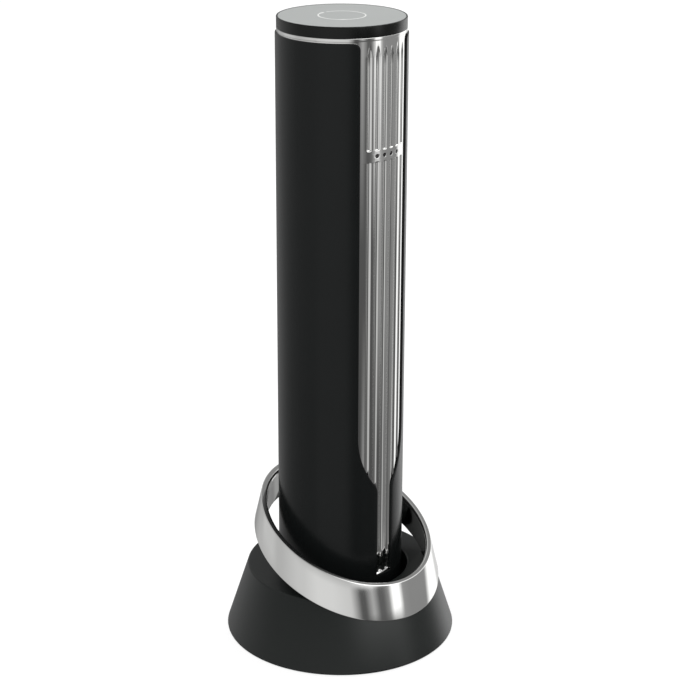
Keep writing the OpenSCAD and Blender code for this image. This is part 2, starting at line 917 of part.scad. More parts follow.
module worm_screw() {
    rings_per_turn = 20;
    sides = 12;
    end_z = chuck_z + shank_len;
    rings = ceil((end_z - tip_z) / worm_pitch * rings_per_turn);
    levels = [for (i = [0:rings]) tip_z + (end_z - tip_z) * i / rings];
    points = [for (z = levels)
        let (tangent = unit(worm_point(min(z + eps, end_z)) - worm_point(max(z - eps, tip_z))))
        let (out = [cos(worm_turn(z)), sin(worm_turn(z)), 0])
        let (normal = unit(out - (out * tangent) * tangent))
        let (side = cross(tangent, normal))
        for (k = [0:sides - 1])
            let (a = 360 * k / sides)
            worm_point(z) + worm_wire_r(z) * (cos(a) * normal + sin(a) * side)];
    color("#cfd2d4")
        polyhedron(points, concat(
            [[for (k = [0:sides - 1]) k]],
            [for (i = [0:rings - 1])
                for (k = [0:sides - 1])
                    let (next = (k + 1) % sides)
                    each [
                        [i * sides + k, (i + 1) * sides + k, (i + 1) * sides + next],
                        [i * sides + k, (i + 1) * sides + next, i * sides + next]]],
            [[for (k = [sides - 1:-1:0]) rings * sides + k]]));
}

module worm_chuck() {
    color("#2d2f30")
        difference() {
            post(chuck_r, chuck_z, chuck_top_z);
            post(wire_r + fit_gap, chuck_z - cut, shaft_end_z + cut, $fn = pin_fn);
            post(shaft_r, shaft_end_z, chuck_top_z + cut);
            cross_pin(far);
        }
}

module chuck_pin() {
    color("#c4c6c8")
        cross_pin(2 * chuck_r - 0.4);
}

// ---------- motor ----------

module motor_plate() {
    color("#8c8f91")
        difference() {
            post(gearbox_r, plate_z, motor_z);
            post(motor_boss_r + fit_gap, plate_z - cut, motor_z + cut);
            around(screw_angles, gearbox_screw_r)
                post(small_thread_r + hole_play / 2, plate_z - cut, motor_z + cut, $fn = small_fn);
            around(motor_screw_angles, motor_screw_r) {
                post(thread_r + hole_play / 2, plate_z - cut, motor_z + cut, $fn = small_fn);
                post(head_r + hole_play, plate_z - cut, plate_z + motor_pocket_t, $fn = small_fn);
            }
        }
}

module motor_screws() {
    color("#9a9a9a")
        around(motor_screw_angles, motor_screw_r)
            translate([0, 0, plate_z + motor_pocket_t])
                screw_up(thread_r, motor_plate_t - motor_pocket_t + can_floor_t, head_r, flat_head_t);
}

module motor_can() {
    color("#a9acae")
        difference() {
            union() {
                post(can_r, motor_z, can_top_z);
                post(motor_boss_r, motor_z - motor_boss_h, motor_z + eps);
            }
            post(can_in_r, motor_z + can_floor_t, can_top_z + cut);
            post(motor_bush_r, motor_z - motor_boss_h - cut, motor_z + can_floor_t + cut);
            around(motor_screw_angles, motor_screw_r)
                post(thread_r, motor_z - cut, motor_z + can_floor_t + cut, $fn = small_fn);
        }
}

module motor_bushes() {
    in_r = motor_shaft_r + motor_bush_play;
    color("#b98b4a") {
        tube(motor_bush_r, in_r, motor_z - motor_boss_h + 0.1, motor_z + can_floor_t, $fn = pin_fn);
        tube(motor_bush_r, in_r, end_cap_z + 1.5, motor_end_z - 0.3, $fn = pin_fn);
    }
}

// Two magnets in the can, with a gap between them at each side
module motor_magnets() {
    gap_half = 25;
    air_gap = 0.4;
    color("#3b3b3b")
        difference() {
            tube(can_in_r - fit_gap, rotor_r + air_gap, rotor_z, rotor_z + rotor_h + 1);
            for (side = [-1, 1])
                translate([0, 0, rotor_z - cut])
                    linear_extrude(rotor_h + 1 + 2 * cut)
                        polygon([[0, 0], side * far * [cos(gap_half), sin(gap_half)],
                            side * far * [cos(gap_half), -sin(gap_half)]]);
        }
}

module motor_end_cap() {
    hub_r = motor_bush_r + 1.6;
    color("#d9d4c4")
        difference() {
            union() {
                post(can_in_r - fit_gap, end_cap_z, end_cap_z + end_cap_t);
                post(hub_r, end_cap_z, motor_end_z);
            }
            post(motor_bush_r, end_cap_z + 1.5, motor_end_z + cut);
            post(motor_shaft_r + 0.6, end_cap_z - cut, motor_end_z + cut, $fn = pin_fn);
            for (side = [-1, 1])
                translate([side * terminal_x, 0, end_cap_z + end_cap_t / 2])
                    cube([terminal_t + 0.4, terminal_w + 0.4, end_cap_t + 2 * cut], center = true);
        }
}

// Each brush is a carbon block on a leaf that ends in the terminal
module motor_brushes() {
    block = 2.4;
    leaf_w = 2;
    block_z = commutator_z + 1;
    leaf_z = block_z + block / 4;
    color("#8a6a3c")
        for (turn = [0, 180])
            rotate([0, 0, turn]) {
                translate([commutator_r + motor_bush_play, -block / 2, block_z])
                    cube(block);
                translate([commutator_r + block, -leaf_w / 2, leaf_z])
                    cube([terminal_x - commutator_r - block, leaf_w, 0.5]);
                translate([terminal_x - terminal_t / 2, -terminal_w / 2, leaf_z])
                    cube([terminal_t, terminal_w, terminal_top_z - leaf_z]);
            }
}

module motor_leads() {
    lead_r = 0.6;
    lead_z = bay_z - 1.5;
    for (side = [-1, 1])
        color(side < 0 ? "#b02020" : "#202020")
            translate([side * terminal_x, 0, 0])
                union() {
                    post(lead_r, terminal_top_z, lead_z, $fn = small_fn);
                    translate([0, 0, lead_z])
                        sphere(r = lead_r, $fn = small_fn);
                    translate([0, 0, lead_z])
                        rotate([90, 0, 0])
                            cylinder(r = lead_r, h = -board_y - board_t, $fn = small_fn);
                }
}

module motor_shaft() {
    color("#c4c6c8")
        post(motor_shaft_r, input_planet_z + 0.2, motor_end_z - 0.3, $fn = pin_fn);
}

module motor_pinion() {
    color("#c8a35a")
        difference() {
            sun_gear(input_planet_z + 0.2, input_planet_z + planet_w + 0.3);
            post(motor_shaft_r, input_planet_z - cut, plate_z + cut, $fn = pin_fn);
        }
}

// Poles with curved shoes, round a hub
module rotor_core() {
    hub_r = 3.6;
    half_step = 36;
    color("#6f7478")
        translate([0, 0, rotor_z])
            linear_extrude(rotor_h)
                difference() {
                    union() {
                        circle(r = hub_r);
                        difference() {
                            circle(r = rotor_r);
                            circle(r = rotor_r - shoe_t);
                            for (a = pole_angles)
                                rotate(a + half_step)
                                    translate([0, -shoe_slot_w / 2])
                                        square([far, shoe_slot_w]);
                        }
                        for (a = pole_angles)
                            rotate(a)
                                translate([0, -pole_w / 2])
                                    square([rotor_r - shoe_t / 2, pole_w]);
                    }
                    circle(r = motor_shaft_r, $fn = pin_fn);
                }
}

// One coil round each pole
module rotor_windings() {
    coil_w = 5;
    coil_start = 4.6;
    coil_len = sqrt(pow(rotor_r - shoe_t, 2) - pow(coil_w / 2, 2)) - coil_start - fit_gap;
    wire_t = 1.2;
    color("#b5652b")
        around(pole_angles, coil_start)
            difference() {
                translate([0, -coil_w / 2, rotor_z - wire_t])
                    cube([coil_len, coil_w, rotor_h + 2 * wire_t]);
                translate([-cut, -pole_w / 2 - eps, rotor_z])
                    cube([coil_len + 2 * cut, pole_w + 2 * eps, rotor_h]);
            }
}

module commutator() {
    slot_w = 0.4;
    slot_depth = 1.2;
    color("#c07a3e")
        difference() {
            tube(commutator_r, motor_shaft_r, commutator_z, end_cap_z - 0.5, $fn = 60);
            around(pole_angles, commutator_r - slot_depth)
                translate([0, -slot_w / 2, commutator_z - cut])
                    cube([slot_depth + cut, slot_w, end_cap_z - commutator_z + cut]);
        }
}

// ---------- frame, battery and boards ----------

// The frame before it is split: a tube with webs round the gearbox, motor and battery
module frame_whole() {
    motor_webs = [motor_z + 6, can_top_z - 6];
    cell_webs = [port_z - 5, cell_z + cell_len - 8.6];
    chip_room = 5.2;
    light_half_w = 7;
    light_half_h = 1.8;
    lead_hole_r = 1.2;
    room = 2 * board_play;
    difference() {
        union() {
            tube(frame_r, frame_in_r, gear_z, frame_top_z);
            for (z = motor_webs)
                tube(frame_in_r + eps, can_r + fit_gap, z, z + web_t);
            post(frame_in_r + eps, bay_z, bay_z + web_t);
            for (z = cell_webs)
                tube(frame_in_r + eps, cell_r + fit_gap, z, z + web_t);
            for (z = frame_screw_z)
                for (side = [-1, 1])
                    intersection() {
                        translate([-frame_in_r, side * frame_boss_y, z])
                            rotate([0, 90, 0])
                                cylinder(r = frame_boss_r, h = 2 * frame_in_r, $fn = pin_fn);
                        post(frame_in_r + eps, z - 2 * frame_boss_r, z + 2 * frame_boss_r);
                    }
        }
        translate([-board_half_w, board_y, board_z] - board_play * [1, 1, 1])
            cube([2 * board_half_w + 2 * board_play, board_t + 2 * board_play, far]);
        translate([-board_half_w + 1.5, board_y - board_play, board_z - board_play])
            cube([2 * board_half_w - 3, chip_room, board_top_z - board_z + 4]);
        translate([-light_half_w, -far, indicator_z - light_half_h])
            cube([2 * light_half_w, far + board_y + 1, 2 * light_half_h]);
        translate([-charge_board_w / 2, charge_board_y, port_z - port_h / 2 - board_t] - room * [1, 1, 1])
            cube([charge_board_w + 2 * room, far, port_h + board_t + 6 * room]);
        for (side = [-1, 1])
            translate([side * terminal_x, 0, 0])
                post(lead_hole_r, bay_z - cut, bay_z + web_t + cut, $fn = small_fn);
    }
}

// Holes for the screws that join the two halves: heads on the right, threads on the left
module frame_screw_holes() {
    for (z = frame_screw_z)
        for (side = [-1, 1])
            translate([0, side * frame_boss_y, z])
                rotate([0, 90, 0]) {
                    translate([0, 0, -frame_screw_bite - 1])
                        cylinder(r = small_thread_r, h = far, $fn = small_fn);
                    cylinder(r = small_thread_r + hole_play, h = far, $fn = small_fn);
                    translate([0, 0, frame_head_x])
                        cylinder(r = small_head_r + hole_play, h = far, $fn = small_fn);
                }
}

module frame_half(side) {
    color("#4a4d50")
        difference() {
            frame_whole();
            translate([side > 0 ? -far : 0, -far / 2, -cut])
                cube([far, far, 2 * far]);
            frame_screw_holes();
        }
}

module chassis_left() {
    frame_half(-1);
}

module chassis_right() {
    frame_half(1);
}

module chassis_screws() {
    color("#9a9a9a")
        for (z = frame_screw_z)
            for (side = [-1, 1])
                translate([frame_head_x, side * frame_boss_y, z])
                    rotate([0, -90, 0])
                        screw_up(small_thread_r, frame_head_x + frame_screw_bite,
                            small_head_r, small_head_t);
}

module battery_cell() {
    knob_r = 2.6;
    color("#3f6fa8")
        union() {
            post(cell_r, cell_z, cell_z + cell_len);
            post(knob_r, cell_z + cell_len - eps, cell_z + cell_len + cell_knob_h);
        }
}

// Nickel strips from the cell's two ends to the control board, each bent once
module battery_tabs() {
    strip_t = 0.25;
    half_w = 2;
    leg_h = 8;
    reach_y = board_y + board_t + 0.05;
    low_z = cell_z - strip_t;
    high_z = cell_z + cell_len + cell_knob_h;
    color("#c9c5b8") {
        for (z = [low_z, high_z])
            translate([-half_w, reach_y, z])
                cube([2 * half_w, half_w - reach_y, strip_t]);
        for (z = [low_z, high_z + strip_t - leg_h])
            translate([-half_w, reach_y, z])
                cube([2 * half_w, strip_t, leg_h]);
    }
}

// Board with its chips, on the side that faces the cell
module control_board() {
    // middle across, height above the bay, and size of each chip
    chips = [
        [-5.5, 9, [5, 1.2, 5]],
        [4.4, 9, [3, 1, 4]],
        [4.2, 22, [4, 1.1, 4]],
        [-5.5, 24, [3, 1.6, 2]],
        [5, 34, [3, 1.8, 5]]];
    color("#2f6b3c")
        union() {
            translate([-board_half_w, board_y, board_z])
                cube([2 * board_half_w, board_t, board_top_z - board_z]);
            for (chip = chips)
                translate([chip[0] - chip[2][0] / 2, board_y + board_t - eps, bay_z + chip[1]])
                    cube(chip[2]);
        }
}

module indicator_leds() {
    led = [1.6, 0.8, 1];
    color("#e8e6da")
        for (a = indicator_angles)
            translate([frame_r * sin(a) - led[0] / 2, board_y - led[1], indicator_z - led[2] / 2])
                cube(led);
}

module charge_board() {
    color("#2f6b3c")
        translate([-charge_board_w / 2, charge_board_y, port_z - port_h / 2 - board_t])
            cube([charge_board_w, frame_in_r - charge_board_y - 1.4, board_t]);
}

// Metal shell of the socket with its tongue
module usb_socket() {
    depth = 6;
    tongue = [4.8, 0.6, depth - 0.6];
    color("#c4c6c8")
        translate([0, frame_r - 0.6, port_z])
            rotate([90, 0, 0])
                union() {
                    difference() {
                        linear_extrude(depth)
                            square([port_w, port_h], center = true);
                        translate([0, 0, -cut])
                            linear_extrude(depth - socket_wall_t + cut)
                                square([port_w, port_h] - 2 * socket_wall_t * [1, 1], center = true);
                    }
                    translate([-tongue[0] / 2, -tongue[1] / 2, depth - tongue[2]])
                        cube(tongue);
                }
}

// ---------- nodes ----------

stand_base();
stand_ring();
socket_pad();
ballast_plate();
base_cover();
foot_ring();
cover_screws();
ring_screws();
outer_shell();
fluted_tube();
trim_ring();
cap_ring();
touch_plate();
touch_board();
light_guide();
neck_collar();
collar_screws();
cork_sleeve();
sleeve_screws();
output_cover();
output_bush();
thrust_washer();
ring_gear();
gearbox_screws();
motor_plate();
motor_screws();
motor_can();
motor_magnets();
motor_end_cap();
motor_brushes();
motor_bushes();
motor_leads();
chassis_left();
chassis_right();
chassis_screws();
battery_cell();
battery_tabs();
control_board();
indicator_leds();
charge_board();
usb_socket();
worm_screw();
worm_chuck();
chuck_pin();
output_carrier();
output_pins();
output_planet_1();
output_planet_2();
output_planet_3();
input_carrier();
input_pins();
input_planet_1();
input_planet_2();
input_planet_3();
motor_shaft();
motor_pinion();
rotor_core();
rotor_windings();
commutator();
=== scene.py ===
"""Looks of an electric wine opener on its stand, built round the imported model.

Every length in the classes is in millimetres in the row's frame: +Z up, the fluted strip
faces -Y, and the stand's underside is at z = 0. Meshes are handed to Blender in metres.
"""

import json
import logging
import math
from dataclasses import dataclass, field
from enum import Enum
from typing import Callable, Sequence

import bmesh
import bpy
import numpy as np
from mathutils import Matrix, Vector


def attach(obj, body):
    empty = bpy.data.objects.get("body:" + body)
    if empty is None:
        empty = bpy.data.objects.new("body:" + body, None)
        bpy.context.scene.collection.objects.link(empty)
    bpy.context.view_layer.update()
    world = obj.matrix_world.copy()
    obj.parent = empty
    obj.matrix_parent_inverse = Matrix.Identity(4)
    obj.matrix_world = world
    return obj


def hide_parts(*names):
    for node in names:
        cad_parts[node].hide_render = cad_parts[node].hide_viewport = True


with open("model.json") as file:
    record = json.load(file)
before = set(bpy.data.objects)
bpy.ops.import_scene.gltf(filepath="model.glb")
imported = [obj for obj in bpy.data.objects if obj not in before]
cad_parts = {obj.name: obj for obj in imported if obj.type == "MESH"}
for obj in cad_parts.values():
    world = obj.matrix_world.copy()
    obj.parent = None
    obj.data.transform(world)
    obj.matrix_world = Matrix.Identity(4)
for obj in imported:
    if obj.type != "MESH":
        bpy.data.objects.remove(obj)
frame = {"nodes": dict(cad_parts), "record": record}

MM = 0.001
LOG = logging.getLogger("wine_opener")
FRONT = -90.0  # azimuth, in degrees, that the fluted strip faces
BACK = 90.0
AROUND = np.arange(360.0)  # azimuths of the columns of the chrome ring and the base
HAIR = 0.01  # a length or a sine too small to see, that keeps values apart or off zero
TOUCH = 0.001  # millimetres within which two places count as one
ARC_STEPS = 6  # quads along a rounded corner
TURN_STEPS = 256  # columns of a turned surface
CREASE = 40  # degrees from which on an edge is shaded sharp
LEAST_TURN = 1e-6  # radians; a corner that is all but straight turns by this
PATCH_SHARES = (0, 0.4, 0.75, 1)  # rings from the border of a hole's patch to its rim
RIM_TURNS = (22.5, 45, 67.5, 90)  # degrees of a hole's rounded rim at which rings lie

# The sleeve, the tube and the socket share the place of the charging hole.
PORT_Z = 204.9
PORT_ROWS = (200, 210)  # heights between which the grids are fine
PORT_MARGIN = 0.8

Points = np.ndarray
Tree = bpy.types.NodeTree
Socket = bpy.types.NodeSocket


# ---------------------------------------------------------------- surfaces


@dataclass
class Surface:
    """Points in millimetres, with quads as rows of four indices."""

    points: Points
    quads: np.ndarray

    def __add__(self, other: "Surface") -> "Surface":
        """Both surfaces as one, with the second one's indices moved on.

        Args:
            other: The second surface.

        Returns:
            The joint surface.
        """
        return Surface(
            np.concatenate([self.points, other.points]),
            np.concatenate([self.quads, other.quads + len(self.points)]),
        )


def grid_quads(rows: int, cols: int, loop_rows: bool = False, loop_cols: bool = False) -> np.ndarray:
    """Quads of a grid of points: (i, j), (i, j+1), (i+1, j+1), (i+1, j).

    The normal is the column direction crossed with the row direction.

    Args:
        rows: Number of rows of points.
        cols: Number of columns.
        loop_rows: The last row joins the first.
        loop_cols: The last column joins the first.

    Returns:
        Array of four indices a quad.
    """
    index = np.arange(rows * cols).reshape(rows, cols)
    if loop_rows:
        index = np.vstack([index, index[:1]])
    if loop_cols:
        index = np.hstack([index, index[:, :1]])
    corners = [index[:-1, :-1], index[:-1, 1:], index[1:, 1:], index[1:, :-1]]
    return np.stack(corners, axis=-1).reshape(-1, 4)


def grid(points: Points, loop_rows: bool = False, loop_cols: bool = False) -> Surface:
    """A rows by columns array of points as a surface, joined as grid_quads says."""
    rows, cols = points.shape[:2]
    return Surface(points.reshape(-1, 3), grid_quads(rows, cols, loop_rows, loop_cols))


def polar(radius: Points, azimuth: Points, height: Points) -> Points:
    """Points at (r cos a, r sin a, z), for azimuths in degrees."""
    radius, azimuth, height = np.broadcast_arrays(radius, np.radians(azimuth), height)
    return np.stack([radius * np.cos(azimuth), radius * np.sin(azimuth), height], axis=-1)


def rounded(corners: Points, bends: Sequence[float], closed: bool = False) -> Points:
    """Outlines in which each corner is an arc, for many outlines at once.

    At a corner of radius r between unit directions u and v, h is half the angle between them.
    The arc starts r / tan h along u, ends as far along v, and its centre lies r / sin h along
    the line that halves the angle. It turns from one end to the other at an even rate.

    Args:
        corners: Array of shape (corners, outlines, dimensions).
        bends: Radius of each corner; 0 keeps it sharp.
        closed: The last corner joins the first. Otherwise the two ends stay sharp.

    Returns:
        Array of shape (points, outlines, dimensions).
    """
    before = np.roll(corners, 1, axis=0)
    after = np.roll(corners, -1, axis=0)
    parts = []
    for i, bend in enumerate(bends):
        here = corners[i]
        if bend == 0 or (not closed and i in (0, len(bends) - 1)):
            parts.append(here[None])
            continue
        u = (before[i] - here) / np.linalg.norm(before[i] - here, axis=-1, keepdims=True)
        v = (after[i] - here) / np.linalg.norm(after[i] - here, axis=-1, keepdims=True)
        half = np.arccos(np.clip(np.sum(u * v, axis=-1, keepdims=True), -1, 1)) / 2
        centre = here + (u + v) / np.linalg.norm(u + v, axis=-1, keepdims=True) * bend / np.sin(half)
        first = here + u * bend / np.tan(half) - centre
        last = here + v * bend / np.tan(half) - centre
        turn = np.maximum(np.pi - 2 * half, LEAST_TURN)
        share = np.linspace(0, 1, ARC_STEPS + 1)[:, None, None]
        spokes = np.sin((1 - share) * turn) * first + np.sin(share * turn) * last
        parts.append(centre + spokes / np.sin(turn))
    return np.concatenate(parts)


def turned(corners: Sequence[tuple[float, float, float]], closed: bool = False) -> Surface:
    """An outline of rounded corners, turned round Z: (r, z) goes to (r cos a, r sin a, z).

    The outline runs up on the outside and inwards over the top, for outward normals.

    Args:
        corners: (radius, height, corner radius) in order.
        closed: The last corner joins the first.

    Returns:
        The surface.
    """
    flat = np.array(corners, float)
    outline = rounded(flat[:, None, :2], flat[:, 2], closed)
    azimuth = np.arange(TURN_STEPS) * 360 / TURN_STEPS
    return grid(polar(outline[..., 0], azimuth, outline[..., 1]), loop_rows=closed, loop_cols=True)


def bar(sections: Points) -> Surface:
    """A bar of the same outline at each column, closed at both ends by the ends' middles.

    Args:
        sections: Array of shape (outline points, columns, 3).

    Returns:
        The closed surface.
    """
    ends = sections[:, [0, -1]].mean(axis=0, keepdims=True).repeat(len(sections), axis=0)
    return grid(np.concatenate([ends[:, :1], sections, ends[:, 1:]], axis=1), loop_rows=True)


def distinct(values: Points) -> Points:
    """The values in order, and each that is the same to a millionth only once."""
    return np.unique(np.round(values, 6))


def centred(count: int) -> Points:
    """As many whole steps as the count says, from -(count - 1) / 2 up."""
    return np.arange(count) - (count - 1) / 2


def from_front(azimuth: Points) -> Points:
    """Azimuths counted from the front, between -180 and 180 degrees."""
    return (azimuth - FRONT + 180) % 360 - 180


def spaced(*stops: tuple[float, float, int]) -> Points:
    """Values of several even stretches in one row, with equal neighbours taken once.

    Args:
        stops: (start, end, number of steps) of each stretch.

    Returns:
        Sorted values.
    """
    return distinct(np.concatenate([np.linspace(start, end, steps + 1) for start, end, steps in stops]))


@dataclass(frozen=True)
class Hole:
    """A round or stadium-shaped hole through a tube's wall, its long side level."""

    azimuth: float
    height: float
    half_width: float
    half_height: float
    edge: float

    def nearest(self, across: Points, up: Points, play: float) -> tuple[Points, Points]:
        """The nearest points of the hole's outline, moved out by play.

        The stadium is all points half a height away from a level segment: each point is
        carried to that distance from the nearest point of the segment.

        Args:
            across: Distances from the hole's centre along the wall.
            up: Heights above the hole's centre.
            play: Distance outside the outline.

        Returns:
            (across, up) on the outline.
        """
        reach = self.half_width - self.half_height
        foot = np.clip(across, -reach, reach)
        length = np.hypot(across - foot, up)
        share = (self.half_height + play) / length
        return foot + (across - foot) * share, up * share


@dataclass
class Skin:
    """A tube's wall laid out flat: an azimuth, a height and a dip for each point."""

    azimuth: Points
    height: Points
    quads: np.ndarray
    dip: Points
    around_mm: float  # arc length of one degree
    added: list[tuple[Points, Points]] = field(default_factory=list)  # what cuts bring to the sheet

    @classmethod
    def sheet(cls, azimuth: Points, height: Points, radius: float) -> "Skin":
        """A sheet that goes all the way round, over rows of heights and columns of azimuths.

        Args:
            azimuth: Azimuths in degrees, of each row or the same for all rows.
            height: Height of each row.
            radius: Nominal radius of the wall.

        Returns:
            The skin.
        """
        azimuth, height = np.broadcast_arrays(azimuth, height[:, None])
        quads = grid_quads(*azimuth.shape, loop_cols=True)
        return cls(azimuth, height, quads, np.zeros(azimuth.size), math.radians(radius))

    def cut(self, hole: Hole, margin: float) -> None:
        """Replaces the quads at a hole by rings that lead from the sheet to its rim.

        The rings go from the border of the removed patch straight to the outline, and over
        the rim's quarter circle: e (1 - sin q) outside the outline, e (1 - cos q) deep.

        Args:
            hole: The hole.
            margin: Width of the patch round the hole.
        """
        rows, cols = self.azimuth.shape
        across = (self.azimuth - hole.azimuth) * self.around_mm
        up = self.height - hole.height
        inside_rows = np.flatnonzero(np.abs(up[:, 0]) < hole.half_height + margin)
        inside_cols = np.flatnonzero(np.abs(across[inside_rows[0]]) < hole.half_width + margin)
        low, high = inside_rows[0] - 1, inside_rows[-1] + 1
        left, right = inside_cols[0] - 1, inside_cols[-1] + 1
        corner_row, corner_col = np.divmod(self.quads[:, 0], cols)
        kept = (corner_row < low) | (corner_row >= high) | (corner_col < left) | (corner_col >= right)
        kept |= self.quads[:, 0] >= rows * cols  # what earlier cuts added
        index = np.arange(rows * cols).reshape(rows, cols)
        border = np.concatenate([
            index[low, left:right], index[low:high, right],
            index[high, right:left:-1], index[high:low:-1, left]])
        start = np.stack([across.ravel()[border], up.ravel()[border]])
        rim = np.stack(hole.nearest(*start, hole.edge))
        rings = [start + (rim - start) * share for share in PATCH_SHARES]
        dips = [0.0] * len(PATCH_SHARES)
        for turn in np.radians(RIM_TURNS):
            rings.append(np.stack(hole.nearest(*start, hole.edge * (1 - math.sin(turn)))))
            dips.append(hole.edge * (1 - math.cos(turn)))
        rings = np.stack(rings)
        first = len(self.dip)
        patch = grid_quads(len(rings), len(border), loop_cols=True) + first
        self.quads = np.concatenate([self.quads[kept], patch])
        self.added.append((hole.azimuth + rings[:, 0].ravel() / self.around_mm,
                           hole.height + rings[:, 1].ravel()))
        self.dip = np.concatenate([self.dip, np.repeat(dips, len(border))])

    def wall(self, outer: Callable[[Points, Points], Points], inner: float) -> Surface:
        """The skin with its thickness, closed along every border.

        Each point stands on the outer radius, less its dip, and again on the inner radius.
        A border is an edge that only one quad has; it gets a quad from outside to inside.

        Args:
            outer: Outer radius as a function of azimuth and height.
            inner: Inner radius.

        Returns:
            The closed surface.
        """
        parts = [(self.azimuth.ravel(), self.height.ravel()), *self.added]
        azimuth, height = (np.concatenate(values) for values in zip(*parts))
        outside = polar(outer(azimuth, height) - self.dip, azimuth, height)
        inside = polar(inner, azimuth, height)
        count = len(outside)
        # points within a ten-thousandth of a millimetre count as one
        merged = np.unique(np.round(outside, 4), axis=0, return_inverse=True)[1].ravel()
        edges = np.concatenate([self.quads[:, [k, (k + 1) % 4]] for k in range(4)])
        keys = np.sort(merged[edges], axis=1)
        _, where, uses = np.unique(keys, axis=0, return_inverse=True, return_counts=True)
        border = edges[(uses[where.ravel()] == 1) & (keys[:, 0] != keys[:, 1])]
        sides = np.stack([border[:, 1], border[:, 0], border[:, 0] + count, border[:, 1] + count], axis=1)
        return Surface(np.concatenate([outside, inside]),
                       np.concatenate([self.quads, self.quads[:, ::-1] + count, sides]))


def carried(path: Points, out: Points, radius: Points, sides: int) -> Surface:
    """A round bar along a path, closed at both ends.

    The ring at a point p is p + r (cos k n + sin k b): n is the given direction made square
    to the path, and b is the path's direction crossed with n.

    Args:
        path: Points along the middle of the bar.
        out: A direction at each point.
        radius: The bar's radius at each point.
        sides: Points of a ring.

    Returns:
        The surface.
    """
    along = np.gradient(path, axis=0)
    along /= np.linalg.norm(along, axis=1, keepdims=True)
    square = out - np.sum(out * along, axis=1, keepdims=True) * along
    square /= np.linalg.norm(square, axis=1, keepdims=True)
    side = np.cross(along, square)
    turn = np.arange(sides) * 2 * np.pi / sides
    ring = np.cos(turn)[None, :, None] * square[:, None] + np.sin(turn)[None, :, None] * side[:, None]
    points = path[:, None] + radius[:, None, None] * ring
    ends = [np.repeat(path[i][None, None], sides, axis=1) for i in (0, -1)]
    return grid(np.concatenate([ends[0], points, ends[1]]), loop_cols=True)


# ---------------------------------------------------------------- finishes


def linear(hex_colour: str) -> tuple[float, float, float, float]:
    """An sRGB hex colour as linear red, green, blue and alpha.

    Args:
        hex_colour: Six hex digits after a hash.

    Returns:
        The linear colour with alpha 1.
    """
    parts = [int(hex_colour[i:i + 2], 16) / 255 for i in (1, 3, 5)]
    bent = [part / 12.92 if part <= 0.04045 else ((part + 0.055) / 1.055) ** 2.4 for part in parts]
    return (*bent, 1.0)


def add_node(tree: Tree, kind: str, settings: dict | None = None,
             inputs: dict | None = None) -> bpy.types.Node:
    """Adds a node to a tree.

    Args:
        tree: The node tree.
        kind: The shader node's type.
        settings: Attributes of the node.
        inputs: For a socket's name or number, its value or the socket that it is linked from.

    Returns:
        The node.
    """
    node = tree.nodes.new("ShaderNode" + kind)
    for name, value in (settings or {}).items():
        setattr(node, name, value)
    for name, value in (inputs or {}).items():
        if isinstance(value, Socket):
            tree.links.new(value, node.inputs[name])
        else:
            node.inputs[name].default_value = value
    return node


def calculated(tree: Tree, operation: str, *values: float | Socket) -> Socket:
    """The result of a calculation on values or sockets."""
    return add_node(tree, "Math", {"operation": operation}, dict(enumerate(values))).outputs[0]


def blended(tree: Tree, share: Socket, first: tuple | Socket, second: tuple | Socket) -> Socket:
    """The second colour laid over the first by a share."""
    return add_node(tree, "Mix", {"data_type": "RGBA"}, {0: share, 6: first, 7: second}).outputs[2]


def either(tree: Tree, share: Socket, first: bpy.types.Node, second: bpy.types.Node) -> bpy.types.Node:
    """The first shader where the share is 0 and the second where it is 1."""
    return add_node(tree, "MixShader", inputs={0: share, 1: first.outputs[0], 2: second.outputs[0]})


def grey(level: float) -> tuple[float, float, float, float]:
    """A linear grey with alpha 1."""
    return (level, level, level, 1)


def fresh_tree(owner: bpy.types.Material | bpy.types.World) -> Tree:
    """The owner's node tree, switched on and emptied.

    Args:
        owner: A new material or world.

    Returns:
        The empty tree.
    """
    owner.use_nodes = True
    owner.node_tree.nodes.clear()
    return owner.node_tree


def in_scene(name: str, data: bpy.types.ID) -> bpy.types.Object:
    """Puts data into the scene as a new object.

    Args:
        name: The object's name.
        data: Its mesh, lamp or camera.

    Returns:
        The object.
    """
    thing = bpy.data.objects.new(name, data)
    bpy.context.scene.collection.objects.link(thing)
    return thing


class Grain(Enum):
    """Ways in which a surface's fine relief is laid."""

    EVEN = "the same in every direction"
    TURNED = "rings round Z, as a lathe leaves"
    DRAWN = "lines along Z, as drawing or grinding leaves"


class Figure(Enum):
    """Drawn figures that some finishes carry over their base colour."""

    NONE = "no figure"
    # the dark gaps between the turns are painted shade
    WOUND = "round wires laid side by side, in rings round Z"
    STACKED = "edges of sheets stacked along Z"
    TRACKS = "copper tracks under the mask, at right angles to each other"
    SPECKLED = "grains of a filler or of pressed powder"


# What each figure multiplies the colour by where it is full, and its width in millimetres. The wound figure's
# darkening between its turns is painted shade.
# Wires and sheets are drawn about twice as coarse as real ones, which no view would resolve.
FIGURE_TONE_AND_SHADE = {Figure.WOUND: (0.35, 0.8), Figure.STACKED: (0.45, 0.9), Figure.TRACKS: (1.7, 1.4),
               Figure.SPECKLED: (0.6, 0.35)}
FIGURE_RELIEF = 1 / 8  # a figure's height by its width
# How far the grain is drawn out along each axis: a small scale makes long lines.
LAY_SCALE = {Grain.EVEN: (1, 1, 1), Grain.TURNED: (0.02, 0.02, 1), Grain.DRAWN: (1, 1, 0.02)}
NOISE_RANGE = (0.3, 0.7)  # nearly all of a noise lies between these
LEAST_ROUGHNESS = 0.02
COAT_ROUGHNESS = 0.05
WAVE_RATE = 20  # radians that the wave texture turns in a unit, at scale 1
TRACK_CELLS = 0.4  # cells of the tracks' pattern in a track's width
TRACK_FOLD = 0.1  # distance after which the pattern turns back
TRACK_EDGE = 0.065  # folded distance from which on there is a track


